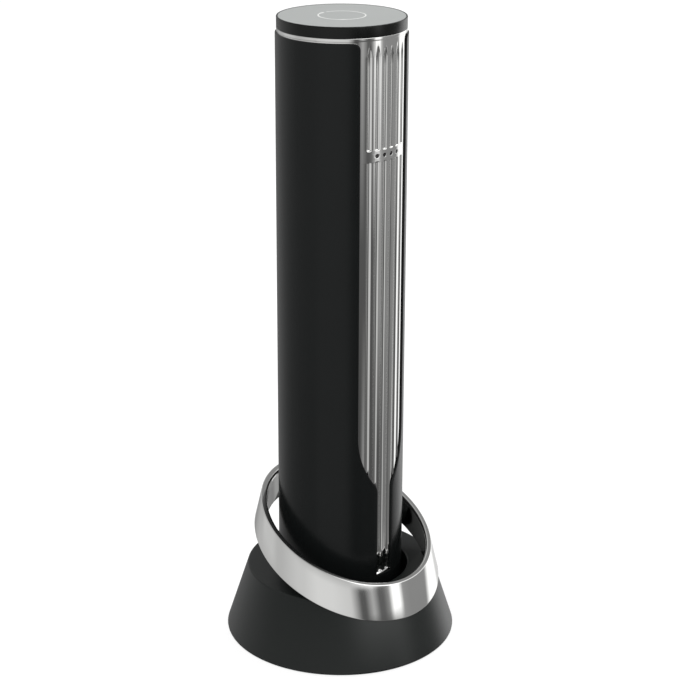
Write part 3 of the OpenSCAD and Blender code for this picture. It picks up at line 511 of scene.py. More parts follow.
@dataclass(frozen=True)
class Finish:
    """A finish: a base colour clouded by a second one, gloss, a fine relief and a figure."""

    name: str
    colour: str
    cloud: str
    roughness: float
    metallic: float = 0.0
    grain_mm: float = 0.5
    relief_mm: float = 0.004
    rough_spread: float = 0.06
    lay: Grain = Grain.EVEN
    cloud_mm: float = 12.0
    coat: float = 0.0
    specular: float = 0.5
    figure: Figure = Figure.NONE

    def material(self) -> bpy.types.Material:
        """The finish's material, made on first use."""
        return bpy.data.materials.get(self.name) or self.build()

    def figured(self, tree: Tree, place: Socket) -> Socket:
        """Where the figure lies: 0 beside it and 1 on it.

        Args:
            tree: Node tree to build in.
            place: Object coordinates.

        Returns:
            Value socket.
        """
        width = FIGURE_TONE_AND_SHADE[self.figure][1] * MM
        if self.figure == Figure.SPECKLED:
            return add_node(tree, "TexVoronoi", inputs={
                "Vector": place, "Scale": 1 / width}).outputs["Distance"]
        if self.figure == Figure.TRACKS:
            cells = add_node(tree, "TexVoronoi", {"distance": "MANHATTAN", "feature": "F2"}, {
                "Vector": place, "Scale": TRACK_CELLS / width}).outputs["Distance"]
            return calculated(
                tree, "GREATER_THAN", calculated(tree, "PINGPONG", cells, TRACK_FOLD), TRACK_EDGE)
        return add_node(tree, "TexWave", {"bands_direction": "Z"}, {
            "Vector": place, "Scale": 2 * math.pi / (WAVE_RATE * width)}).outputs["Fac"]

    def build(self) -> bpy.types.Material:
        """Makes the material: clouded colour, uneven gloss, a bump from the grain, the figure.

        Returns:
            The material.
        """
        material = bpy.data.materials.new(self.name)
        tree = fresh_tree(material)
        place = add_node(tree, "TexCoord").outputs["Object"]
        laid = add_node(tree, "Mapping", inputs={"Vector": place, "Scale": LAY_SCALE[self.lay]})
        grain = add_node(tree, "TexNoise", inputs={
            "Vector": laid.outputs[0], "Scale": 1 / (self.grain_mm * MM), "Detail": 3.0,
            "Roughness": 0.6}).outputs[0]
        cloud = add_node(tree, "TexNoise", inputs={
            "Vector": place, "Scale": 1 / (self.cloud_mm * MM), "Detail": 2.0}).outputs[0]
        colour = blended(tree, cloud, linear(self.colour), linear(self.cloud))
        rough = add_node(tree, "MapRange", inputs={
            "Value": grain, "From Min": NOISE_RANGE[0], "From Max": NOISE_RANGE[1],
            "To Min": max(LEAST_ROUGHNESS, self.roughness - self.rough_spread),
            "To Max": self.roughness + self.rough_spread}).outputs[0]
        bump = add_node(tree, "Bump", inputs={
            "Height": grain, "Strength": 1.0, "Distance": self.relief_mm * MM}).outputs[0]
        if self.figure != Figure.NONE:
            figure = self.figured(tree, place)
            tone_and_shade, width = FIGURE_TONE_AND_SHADE[self.figure]
            # Where the figure's tone is below 1 it darkens its grooves; on wound wire this darkening is
            # painted shade between the turns.
            toned_and_shaded = add_node(tree, "MapRange", inputs={"Value": figure, "To Min": 1.0, "To Max": tone_and_shade})
            colour = add_node(tree, "VectorMath", {"operation": "SCALE"}, {
                0: colour, "Scale": toned_and_shaded.outputs[0]}).outputs[0]
            bump = add_node(tree, "Bump", {"invert": tone_and_shade < 1}, {
                "Height": figure, "Distance": width * MM * FIGURE_RELIEF, "Normal": bump}).outputs[0]
        shader = add_node(tree, "BsdfPrincipled", inputs={
            "Base Color": colour, "Metallic": self.metallic, "Roughness": rough, "Normal": bump,
            "Coat Weight": self.coat, "Coat Roughness": COAT_ROUGHNESS,
            "Specular IOR Level": self.specular})
        add_node(tree, "OutputMaterial", inputs={"Surface": shader.outputs[0]})
        return material


@dataclass(frozen=True)
class Metal(Finish):
    """A finish of bare or plated metal."""

    metallic: float = 1.0


# Each is named for its real material and process; the comment says what it gives the eye.
FINISHES = {
    # deep charcoal with a soft broad sheen and no texture to be seen at arm's length
    "base_black": Finish("matt_painted_moulded_ABS", "#161918", "#191c1b", 0.36, grain_mm=0.25,
        relief_mm=0.003, specular=0.25),
    # a soft mirror with faint turning lines that run round the ring
    "ring_chrome": Metal("polished_chrome_plate_on_zinc", "#d2d2d0", "#cececd", 0.07,
        grain_mm=0.12, relief_mm=0.0001, rough_spread=0.015, lay=Grain.TURNED),
    # near black, dead plain from the front, with a silky light edge where it curves away
    "shell_black": Finish("satin_black_lacquered_steel", "#111313", "#131515", 0.25, grain_mm=0.35,
        relief_mm=0.001, rough_spread=0.02, specular=0.16),
    # a bright mirror whose lines waver a little, as plated mouldings do
    "tube_chrome": Metal("bright_chrome_plate_on_ABS", "#cfcfcd", "#cbcbca", 0.05,
        grain_mm=3.0, relief_mm=0.002, rough_spread=0.01),
    # a shade blacker and finer than the stand
    "cap_black": Finish("fine_textured_black_ABS", "#0a0c0b", "#0d0f0e", 0.26, grain_mm=0.25,
        relief_mm=0.001, specular=0.2),
    # an even cool grey with the soft gloss of its clear face
    "touch_grey": Finish("back_painted_grey_acrylic", "#acb0ae", "#afb1b0", 0.3, grain_mm=0.3,
        relief_mm=0.0002, rough_spread=0.02, specular=0.3),
    # dark, slightly dry surface with the pale flecks of chopped glass
    "collar_black": Finish("glass_filled_black_nylon", "#1d1e1e", "#232424", 0.45, grain_mm=0.3,
        relief_mm=0.006, figure=Figure.SPECKLED),
    # slippery mid grey with a waxy sheen
    "sleeve_grey": Finish("moulded_grey_acetal", "#55585a", "#5b5e60", 0.4, grain_mm=0.4),
    # nearly black and wet-looking, so that the holes read as dark dots until they are lit
    "smoked_lens": Finish("smoked_polycarbonate", "#0b0c0d", "#101112", 0.08, grain_mm=1.0, relief_mm=0.0005),
    # soft black without any shine
    "soft_pad": Finish("moulded_soft_silicone", "#1f2020", "#262727", 0.75, grain_mm=0.3, relief_mm=0.01),
    # dull black with a coarse skin, dustier in patches
    "foot_rubber": Finish("moulded_foot_rubber", "#161616", "#1e1e1e", 0.8, grain_mm=0.35, relief_mm=0.02,
        cloud_mm=5.0),
    # bluish grey sheet metal with the cloudy patches of zinc
    "ballast_steel": Metal("zinc_plated_pressed_steel", "#8f9294", "#a2a49f", 0.38,
        grain_mm=0.8, cloud_mm=6.0),
    # small bright heads with fine rings
    "screw_steel": Metal("zinc_plated_screw_steel", "#a5a8a8", "#8f9291", 0.3, grain_mm=0.2,
        lay=Grain.TURNED),
    # warm white shine under a very fine haze of polishing marks
    "worm_steel": Metal("polished_nickel_plated_spring_steel", "#cfccc6", "#c4c2bd", 0.16,
        grain_mm=0.15, relief_mm=0.001),
    # middle grey with the open pores of pressed powder and an oily gleam
    "gear_steel": Metal("sintered_oiled_steel", "#8b8e8f", "#787b7c", 0.42, grain_mm=0.25,
        coat=0.2, figure=Figure.SPECKLED),
    # milky white with a soft gloss
    "gear_plastic": Finish("moulded_natural_acetal", "#e6e4dc", "#dcdad0", 0.35, grain_mm=0.6),
    # matt silver with the flow clouds of a casting
    "cover_zinc": Metal("die_cast_zinc", "#9b9d9e", "#8b8e90", 0.45, grain_mm=0.5,
        relief_mm=0.01, cloud_mm=7.0),
    # brown gold, porous and soaked with oil
    "bush_bronze": Metal("sintered_bronze", "#9a7444", "#7f5f39", 0.45, grain_mm=0.2,
        figure=Figure.SPECKLED),
    # clear yellow with the fine marks of the hob
    "pinion_brass": Metal("cut_brass", "#c9a44c", "#b8923d", 0.25, grain_mm=0.2,
        lay=Grain.DRAWN),
    # cool silver drawn out along the can
    "motor_steel": Metal("zinc_plated_drawn_steel", "#a9adaf", "#969a9c", 0.28, grain_mm=0.5,
        lay=Grain.DRAWN),
    # the rotor's stack: thin dark lines between bright sheet edges
    "core_steel": Metal("stacked_electrical_sheet", "#8d9193", "#7c8082", 0.4, grain_mm=0.3,
        figure=Figure.STACKED),
    # the commutator: smooth pink metal that the brushes have burnished in rings
    "bar_copper": Metal("turned_copper_bars", "#c07a4e", "#a9683f", 0.22, grain_mm=0.15,
        lay=Grain.TURNED),
    # sooty brown-black blocks with a coarse, half metallic gleam
    "carbon": Finish("pressed_copper_graphite", "#2c2622", "#3a2f28", 0.5, metallic=0.4, grain_mm=0.2,
        relief_mm=0.01, figure=Figure.SPECKLED),
    # dull anthracite with a stony grain
    "magnet": Finish("sintered_ferrite", "#3a3a3c", "#2e2e30", 0.6, grain_mm=0.3, relief_mm=0.02,
        figure=Figure.SPECKLED),
    # creamy white, dry
    "motor_plastic": Finish("moulded_motor_cap_nylon", "#e9e7df", "#dedbd0", 0.5, grain_mm=0.4),
    # glossy red-brown turns, side by side, with painted shade in the gaps between them
    "winding_copper": Metal("enamelled_copper_wire", "#b8632d", "#9d4f22", 0.25,
        grain_mm=0.35, coat=0.6, figure=Figure.WOUND),
    # plain bright red with a soft shine
    "lead_insulation": Finish("extruded_red_PVC", "#9f1f1c", "#8d1a18", 0.4, grain_mm=0.4, lay=Grain.DRAWN),
    # plain black structure with a fine spark-eroded skin
    "frame_plastic": Finish("moulded_black_ABS", "#202122", "#282a2b", 0.5, grain_mm=0.4, relief_mm=0.01),
    # tight glossy blue film with shallow ripples
    "cell_wrap": Finish("shrunk_blue_PVC_wrap", "#1f5f8f", "#1b5681", 0.28, grain_mm=2.5, relief_mm=0.02),
    # yellowish silver strip with the rolling lines along it
    "nickel": Metal("rolled_nickel_strip", "#bdb8ab", "#aaa69a", 0.3, grain_mm=0.2,
        lay=Grain.DRAWN),
    # green mask with lighter tracks showing through
    "circuit_board": Finish("solder_masked_glass_epoxy", "#1d5a33", "#22683c", 0.35, grain_mm=0.6,
        relief_mm=0.01, figure=Figure.TRACKS),
    # milky white dots
    "led": Finish("moulded_white_LED", "#eceae0", "#dedbd0", 0.3, grain_mm=0.3),
    # cold bright shell of the socket
    "socket_steel": Metal("stamped_stainless_steel", "#b4b6b7", "#a5a8a9", 0.25, grain_mm=0.3),
}
# crisp white ink that stands a hair above the plate
PRINT_WHITE = Finish("white_screen_print", "#f0f1ef", "#e6e7e5", 0.5, grain_mm=0.1, relief_mm=0.003)
# thin bright yellow on the socket's contacts
GOLD_PLATE = Metal("gold_plated_contact_strip", "#d9b562", "#cfa94f", 0.2, grain_mm=0.1)
# nodes whose material differs from their slot's
NODE_FINISH = {"rotor_core": "core_steel", "commutator": "bar_copper", "motor_brushes": "carbon"}


def make_piece(name: str, surface: Surface, body: str, slot: str, stands_for: Sequence[str] = (),
               finish: Finish | None = None) -> bpy.types.Object:
    """Makes a Blender object from a surface, dresses it and ties it to its body.

    Points closer than a micrometre are merged, which closes seams and poles.

    Args:
        name: The piece's name.
        surface: Its surface in millimetres.
        body: The body it rides on.
        slot: The record's material slot.
        stands_for: CAD nodes it replaces.
        finish: Its finish, if it isn't the slot's.

    Returns:
        The object.
    """
    mesh = bpy.data.meshes.new(name)
    mesh.from_pydata((surface.points * MM).tolist(), [], surface.quads.tolist())
    shape = bmesh.new()
    shape.from_mesh(mesh)
    bmesh.ops.remove_doubles(shape, verts=shape.verts, dist=TOUCH * MM)
    shape.to_mesh(mesh)
    shape.free()
    mesh.polygons.foreach_set("use_smooth", np.ones(len(mesh.polygons), bool))
    mesh.set_sharp_from_angle(angle=math.radians(CREASE))
    mesh.materials.append((finish or FINISHES[slot]).material())
    piece = in_scene(name, mesh)
    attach(piece, body)
    if stands_for:
        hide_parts(*stands_for)
    LOG.info("%s: %d faces on %s", name, len(mesh.polygons), body)
    return piece


# ---------------------------------------------------------------- stand


@dataclass
class ChromeRing:
    """The slant-cut chrome ring: a cone outside, and inside a wall that follows it."""

    middle_z: float = 47.2
    band: float = 12.68
    tilt: float = math.tan(math.radians(23.77))
    slope: float = math.tan(math.radians(12.98))
    outer_r: float = 32.9
    rim: float = 2.4
    draft: float = math.tan(math.radians(3))
    edge: float = 0.35
    inner_edge: float = 0.9
    low_inner_edge: float = 0.35 / 3
    brace: float = 1.6

    def outer(self, azimuth: Points, middle_z: float) -> Points:
        """Where the cone meets a slanted plane.

        The plane is z = m + y tan(tilt) and the cone r = c + (top - z) tan(slope), so with
        y = r sin a: r = (c + (top - m) tan(slope)) / (1 + tan(tilt) tan(slope) sin a).

        Args:
            azimuth: Azimuths in degrees.
            middle_z: The plane's height on the axis.

        Returns:
            Points of shape (azimuths, 3).
        """
        sine = np.sin(np.radians(azimuth))
        level_r = self.outer_r + (self.middle_z - middle_z) * self.slope
        radius = level_r / (1 + self.tilt * self.slope * sine)
        return polar(radius, azimuth, middle_z + self.tilt * radius * sine)

    def hollow(self, azimuth: Points) -> Points:
        """Radius of the upper inner edge.

        In the slanted plane the rim is equally wide all round, so seen from above its width is
        w (1 - (1 - cos tilt) sin^2 a).

        Args:
            azimuth: Azimuths in degrees.

        Returns:
            Radii.
        """
        sine = np.sin(np.radians(azimuth))
        narrower = 1 - math.cos(math.atan(self.tilt))
        return self.outer_r / (1 + self.tilt * self.slope * sine) - self.rim * (1 - narrower * sine ** 2)

    def inner(self, azimuth: Points, middle_z: float) -> Points:
        """Where the inner wall, drafted wider downwards, meets a slanted plane."""
        radius = self.hollow(azimuth) + (self.middle_z - middle_z) * self.draft
        return polar(radius, azimuth, middle_z + self.tilt * radius * np.sin(np.radians(azimuth)))

    def build(self) -> None:
        """Makes the ring as a rounded four-cornered section at each azimuth.

        A row of points just under the inner edge keeps the wall below it shaded as straight.
        """
        low_z = self.middle_z - self.band
        corners = np.stack([
            self.outer(AROUND, low_z), self.outer(AROUND, self.middle_z), self.inner(AROUND, self.middle_z),
            self.inner(AROUND, self.middle_z - self.brace), self.inner(AROUND, low_z)])
        bends = [self.edge, self.edge, self.inner_edge, 0, self.low_inner_edge]
        section = rounded(corners, bends, closed=True)
        make_piece("chrome_ring", grid(section, loop_rows=True, loop_cols=True), "stand",
                   "ring_chrome", ["stand_ring"])


@dataclass
class StandBase:
    """The cone-shaped base with its socket and the ledge that carries the ring."""

    top_z: float = 26.7
    top_r: float = 36.2
    slope: float = math.tan(math.radians(18))
    foot_z: float = 0.15
    foot_edge: float = 0.6
    shoulder: float = 0.7
    opening_r: float = 40.98
    socket_r: float = 26.1
    socket_lip: float = 1.0
    seat: float = 0.2
    socket_z: float = 12.2
    cover_z: float = 3.4
    ledge: float = 1.2
    ring: ChromeRing = field(default_factory=ChromeRing)

    def build(self) -> None:
        """Makes the base's skin as an outline at each azimuth.

        The outline climbs the cone to where it meets the ring's lower plane or the flat top,
        follows the plane in as far as the ring's upper inner edge, climbs straight to the flat
        top, and goes down the socket to its floor.
        """
        sine = np.sin(np.radians(AROUND))
        low_z = self.ring.middle_z - self.ring.band
        level_r = self.top_r + (self.top_z - low_z) * self.slope
        cone_r = level_r / (1 + self.ring.tilt * sine * self.slope)
        cone_z = low_z + self.ring.tilt * cone_r * sine
        notched = cone_z < self.top_z
        cone_r = np.where(notched, cone_r, self.top_r)
        cone_z = np.where(notched, cone_z, self.top_z)
        wall_r = self.ring.hollow(AROUND) + self.seat
        plane_r = (low_z - self.top_z) / (self.ring.tilt * np.maximum(-sine, HAIR))
        step_r = np.minimum(np.maximum(wall_r, plane_r), cone_r - self.ledge)
        step_z = np.minimum(self.top_z, low_z + self.ring.tilt * step_r * sine)
        foot_r = self.top_r + (self.top_z - self.foot_z) * self.slope
        outline = [
            (self.opening_r, self.cover_z, 0), (self.opening_r, self.foot_z, 0),
            (foot_r, self.foot_z, self.foot_edge), (cone_r, cone_z, self.shoulder),
            (step_r, step_z, 0), (step_r - HAIR, self.top_z, 0),
            (self.socket_r, self.top_z, self.socket_lip), (self.socket_r, self.socket_z, 0),
            (0, self.socket_z, 0), (0, self.cover_z, 0)]
        corners = np.stack([
            np.stack(np.broadcast_arrays(radius, height, AROUND)[:2], axis=-1)
            for radius, height, _ in outline])
        section = rounded(corners, [bend for _, _, bend in outline])
        points = polar(section[..., 0], AROUND, section[..., 1])
        make_piece("stand_body", grid(points, loop_rows=True, loop_cols=True), "stand",
                   "base_black", ["stand_base"])


# ---------------------------------------------------------------- opener


@dataclass
class Window:
    """The front window: straight sides, a long bend in, a short bend back, and the slot."""

    half_w: float = 12.2
    slot_w: float = 3.8
    slot_z: float = 29.6
    bend_z: float = 87.9
    long_r: float = 32.4
    short_r: float = 6.5
    corner_r: float = 2.4
    top_z: float = 235.6

    def half_width(self, height: Points) -> Points:
        """Half the window's width at a height.

        The long bend is w - R (1 - cos a) with sin a = (bend height - z) / R. The short bend
        mirrors it into the slot, and at the top the corners open as a quarter circle.

        Args:
            height: Heights, in millimetres.

        Returns:
            Half widths.
        """
        turn = math.acos(1 - (self.half_w - self.slot_w) / (self.long_r + self.short_r))
        meet_z = self.bend_z - self.long_r * math.sin(turn)
        end_z = meet_z - self.short_r * math.sin(turn)
        into = np.clip((self.bend_z - height) / self.long_r, 0, math.sin(turn))
        back = np.clip((height - end_z) / self.short_r, 0, math.sin(turn))
        long_bend = self.half_w - self.long_r * (1 - np.sqrt(1 - into ** 2))
        short_bend = self.slot_w + self.short_r * (1 - np.sqrt(1 - back ** 2))
        width = np.where(height > meet_z, long_bend, short_bend)
        rise = np.clip((height - (self.top_z - self.corner_r)) / self.corner_r, 0, 1)
        return width + self.corner_r * (1 - np.sqrt(1 - rise ** 2))


@dataclass
class Sleeve:
    """The black outer sleeve with its front window and the hole for the charging plug."""

    radius: float = 24.0
    inner_r: float = 23.45
    low_z: float = 14.9
    high_z: float = 235.6
    edge: float = 0.14
    near: tuple[float, ...] = (0, 0.03, 0.08, 0.14)  # distances of columns from the window
    columns: int = 160  # steps round the back
    front_columns: int = 8  # steps across the window
    slot_rows: float = 0.2  # height of the fine rows under the slot
    bend_rows: tuple[float, float] = (64, 88)  # heights of the fine rows at the window's bends
    corner_rows: float = 232.5  # height from which the rows are fine for the window's corners
    rim_rows: float = 0.3  # height of the finest rows, under the upper rim
    port: Hole = Hole(BACK, PORT_Z, 4.6, 2.25, 0.12)
    window: Window = field(default_factory=Window)

    def build(self) -> None:
        """Makes the sleeve.

        Columns run from the window's right side round the back to its left side, then across
        the window; the quads of the window itself are left out above the slot's end. Close to
        an edge at distance d the radius drops by e (1 - sqrt(1 - (1 - d / e)^2)).
        """
        window = self.window
        edge_z = self.low_z + self.edge
        slot_z = window.slot_z - self.slot_rows
        rim_z = self.high_z - self.rim_rows
        height = spaced(
            (self.low_z, edge_z, 3), (edge_z, slot_z, 6), (slot_z, window.slot_z, 4),
            (window.slot_z, self.bend_rows[0], 12), (*self.bend_rows, 60),
            (self.bend_rows[1], PORT_ROWS[0], 20), (*PORT_ROWS, 20), (PORT_ROWS[1], self.corner_rows, 6),
            (self.corner_rows, rim_z, 16), (rim_z, self.high_z, 12))
        half = np.degrees(window.half_width(height) / self.radius)[:, None]
        near = np.array(self.near) / math.radians(self.radius)
        span = 360 - 2 * half - 2 * near[-1]
        share = np.linspace(0, 1, self.columns + 1)[1:-1]
        across = np.linspace(-1, 1, self.front_columns + 1)[1:-1]
        azimuth = np.hstack([
            FRONT + half + near, FRONT + (half + near[-1]) + span * share,
            FRONT + 360 - half - near[::-1], FRONT + 360 + half * across])
        skin = Skin.sheet(azimuth, height, self.radius)
        slot_row = int(np.argmin(np.abs(height - window.slot_z)))
        row, col = np.divmod(skin.quads[:, 0], azimuth.shape[1])
        skin.quads = skin.quads[(row < slot_row) | (col < azimuth.shape[1] - self.front_columns)]
        skin.cut(self.port, PORT_MARGIN)
        make_piece("black_sleeve", skin.wall(self.outer, self.inner_r), "opener",
                   "shell_black", ["outer_shell"])

    def outer(self, azimuth: Points, height: Points) -> Points:
        """The sleeve's radius, rounded down within an edge's distance of the rims.

        Where no rim of a kind is near, its distance counts as that of the edge, which rounds
        nothing.

        Args:
            azimuth: Azimuths in degrees.
            height: Heights.

        Returns:
            Radii.
        """
        window = self.window
        aside = np.abs(from_front(azimuth)) * math.radians(self.radius)
        beside = np.maximum(aside - window.half_width(height), 0)
        beside = np.where(height < window.slot_z, self.edge, beside)
        below = np.maximum(window.slot_z - height, 0)
        below = np.where(aside < window.slot_w + TOUCH, below, self.edge)
        gap = np.minimum.reduce([beside, below, height - self.low_z, self.high_z - height])
        share = 1 - np.clip(gap / self.edge, 0, 1)
        return self.radius - self.edge * (1 - np.sqrt(1 - share ** 2))


@dataclass
class FlutedTube:
    """The chrome tube: two rows of ball-ended flutes, a row of indicator holes between them."""

    radius: float = 23.4
    inner_r: float = 22.0
    low_z: float = 26.0
    top_z: float = 236.05
    pitch: float = 8.14  # degrees from flute to flute
    flutes: int = 6
    flute_w: float = 1.8
    depth: float = 0.5
    run_out: float = 4.0
    lip: float = 0.05
    blunt: float = 1.8
    lower: tuple[float, float] = (30.2, 193.05)
    upper: tuple[float, float] = (196.75, 234.25)
    holes: int = 4
    holes_z: float = 194.9
    hole_r: float = 0.75
    hole_edge: float = 0.12
    hole_margin: float = 0.25
    port: Hole = Hole(BACK, PORT_Z, 4.2, 1.85, 0.15)
    foot_z: float = 29.65
    foot_w: float = 3.7
    foot_front: float = 0.1  # height of the foot lip's outer face
    foot_rise: float = 1.55  # its height deepest in the wall
    foot_sunk: float = 0.6
    foot_out: float = 0.5
    foot_columns: int = 25
    flute_columns: int = 15  # columns across a flute, at the sines of even turns
    flute_turn: float = 1.45
    columns: int = 116  # steps round the back
    plain_z: float = 90.0  # where the two stretches of wide rows meet
    row_gap: float = 0.1  # from a flute's end to the nearest row outside it

    @property
    def cutter_r(self) -> float:
        """Radius of the ball-ended cutter: (w^2 / 4 + d^2) / 2 d."""
        return ((self.flute_w / 2) ** 2 + self.depth ** 2) / (2 * self.depth)

    def outer(self, azimuth: Points, height: Points) -> Points:
        """The tube's radius with the flutes taken out.

        A ball of radius c, its centre c - depth outside the wall, runs between two heights. At
        a distance s beside its path and t beyond it, it cuts this deep, where b makes the ends
        blunter than a ball: sqrt(c^2 - s^2 - (b t)^2) - (c - depth). At the very top the tool
        is a cone instead, whose radius falls from c by the depth over the run-out. The lip
        softens where the cut d passes zero: (d + sqrt(d^2 + lip^2)) / 2.

        Args:
            azimuth: Azimuths in degrees.
            height: Heights.

        Returns:
            Radii.
        """
        cutter = self.cutter_r
        turn = from_front(azimuth)
        last = self.flutes - 1
        number = np.clip(np.round(turn / self.pitch + last / 2), 0, last)
        beside = (turn - (number - last / 2) * self.pitch) * math.radians(self.radius)
        reach = cutter / self.blunt
        in_lower = np.maximum(self.lower[0] + reach - height, height - self.lower[1] + reach)
        beyond = np.maximum(np.minimum(in_lower, self.upper[0] + reach - height), 0) * self.blunt
        rise = np.maximum((height - self.upper[1]) / self.run_out + 1, 0)
        tool = np.maximum(cutter - self.depth * rise, 0)
        cut = np.sqrt(np.maximum(tool ** 2 - beside ** 2 - beyond ** 2, 0)) - (cutter - self.depth)
        return self.radius - (cut + np.sqrt(cut ** 2 + self.lip ** 2)) / 2

    def build(self) -> None:
        """Makes the tube on a grid that is fine across the flutes and at their ends."""
        turns = np.linspace(-self.flute_turn, self.flute_turn, self.flute_columns)
        flute = np.degrees(np.sin(turns) / self.radius)
        middles = centred(self.flutes) * self.pitch
        holes = centred(self.holes) * self.pitch
        border = middles[-1] + flute[-1]
        beside = np.linspace(border, 360 - border, self.columns + 1)[1:-1]
        turn = distinct(np.concatenate([(middles[:, None] + flute).ravel(), holes, beside]))
        cutter, gap = self.cutter_r, self.row_gap
        low, low_end = self.lower[0], self.lower[1] - cutter
        high, cone = self.upper[0], self.upper[1] - self.run_out
        height = spaced(
            (self.low_z, low - gap, 4), (low - gap, low + cutter, 16), (low + cutter, self.plain_z, 12),
            (self.plain_z, low_end, 20), (low_end, low_end + cutter + gap, 16),
            (low_end + cutter + gap, high - gap, 14), (high - gap, high + cutter, 16),
            (high + cutter, PORT_ROWS[0], 2), (*PORT_ROWS, 16), (PORT_ROWS[1], cone, 6),
            (cone, self.upper[1] + gap, 32), (self.upper[1] + gap, self.top_z, 6))
        skin = Skin.sheet(FRONT + turn, height, self.radius)
        for middle in holes:
            hole = Hole(FRONT + middle, self.holes_z, self.hole_r, self.hole_r, self.hole_edge)
            skin.cut(hole, self.hole_margin)
        skin.cut(self.port, PORT_MARGIN)
        make_piece("fluted_chrome_tube", skin.wall(self.outer, self.inner_r) + self.foot(), "opener",
                   "tube_chrome", ["fluted_tube"])

    def foot(self) -> Surface:
        """The lip at the slot's end: a wedge on the wall whose face looks out and up.

        Returns:
            The closed wedge, bent round the tube.
        """
        low, inside, outside = self.foot_z, self.radius - self.foot_sunk, self.radius + self.foot_out
        section = np.array([
            [inside, low], [outside, low], [outside, low + self.foot_front],
            [inside, low + self.foot_rise]])
        reach = math.degrees(self.foot_w / self.radius)
        azimuth = FRONT + np.linspace(-reach, reach, self.foot_columns)
        return bar(polar(section[:, :1], azimuth[None], section[:, 1:]))


@dataclass
class Cap:
    """The cap: chrome trim ring, black ring, touch plate and its printed circle."""

    trim_z: float = 236.05
    ring_z: float = 237.3
    top_z: float = 241.4
    radius: float = 23.5
    rim: float = 0.53
    spigot_r: float = 21.95
    spigot_h: float = 6.0
    spigot_t: float = 1.35
    trim_t: float = 1.45
    trim_edge: float = 0.15
    skirt_edge: float = 0.12
    top_edge: float = 0.3
    rim_edge: float = 0.08
    plate_t: float = 1.7
    plate_edge: float = 0.12
    plate_gap: float = 0.05  # beside the plate, and from its face up to the rim
    circle_r: float = 8.5
    circle_gap: float = 4.0  # degrees on each side of the back
    line_w: float = 0.5
    print_h: float = 0.02
    # by how much, at what angle from the back and how broadly the line swells
    thick: tuple[tuple[float, float, float], ...] = ((0.3, 14, 6), (0.22, 137, 8))

    def circle(self) -> Surface:
        """The printed sign for turning: a circle that opens at the back, with two thick places.

        Half the line's width at an angle a from the back is w / 2 + the sum over the thick
        places (s, m, b) of s exp(-((a - m) / b)^2).

        Returns:
            The printed layer, closed.
        """
        turn = np.arange(self.circle_gap, 361 - self.circle_gap)
        half = self.line_w / 2 + sum(
            size * np.exp(-((turn - middle) / breadth) ** 2) for size, middle, breadth in self.thick)
        low = np.full_like(turn, self.top_z - self.plate_gap)
        high = low + self.print_h
        corners = [(-half, low), (half, low), (half, high), (-half, high)]
        return bar(np.stack([
            polar(self.circle_r + side, BACK + turn, height) for side, height in corners]))

    def build(self) -> None:
        """Makes the cap's four pieces."""
        trim_r = self.radius - self.trim_t
        trim = turned([
            (trim_r, self.trim_z, 0), (self.radius, self.trim_z, self.trim_edge),
            (self.radius, self.ring_z, self.trim_edge), (trim_r, self.ring_z, 0)], closed=True)
        make_piece("chrome_trim_ring", trim, "opener", "tube_chrome", ["trim_ring"])
        face_z = self.top_z - self.plate_gap
        seat_z = face_z - self.plate_t
        spigot_z = self.ring_z - self.spigot_h
        hole_r = self.spigot_r - self.spigot_t
        rim_r = self.radius - self.rim
        ring = turned([
            (hole_r, spigot_z, 0), (self.spigot_r, spigot_z, 0), (self.spigot_r, self.ring_z, 0),
            (self.radius, self.ring_z, self.skirt_edge), (self.radius, self.top_z, self.top_edge),
            (rim_r, self.top_z, self.rim_edge), (rim_r, seat_z, 0), (hole_r, seat_z, 0)], closed=True)
        make_piece("black_cap_ring", ring, "opener", "cap_black", ["cap_ring"])
        plate_r = rim_r - self.plate_gap
        plate = turned([
            (0, seat_z, 0), (plate_r, seat_z, 0), (plate_r, face_z, self.plate_edge), (0, face_z, 0)])
        make_piece("touch_plate_face", plate, "opener", "touch_grey", ["touch_plate"])
        make_piece("touch_circle", self.circle(), "opener", "touch_grey", finish=PRINT_WHITE)


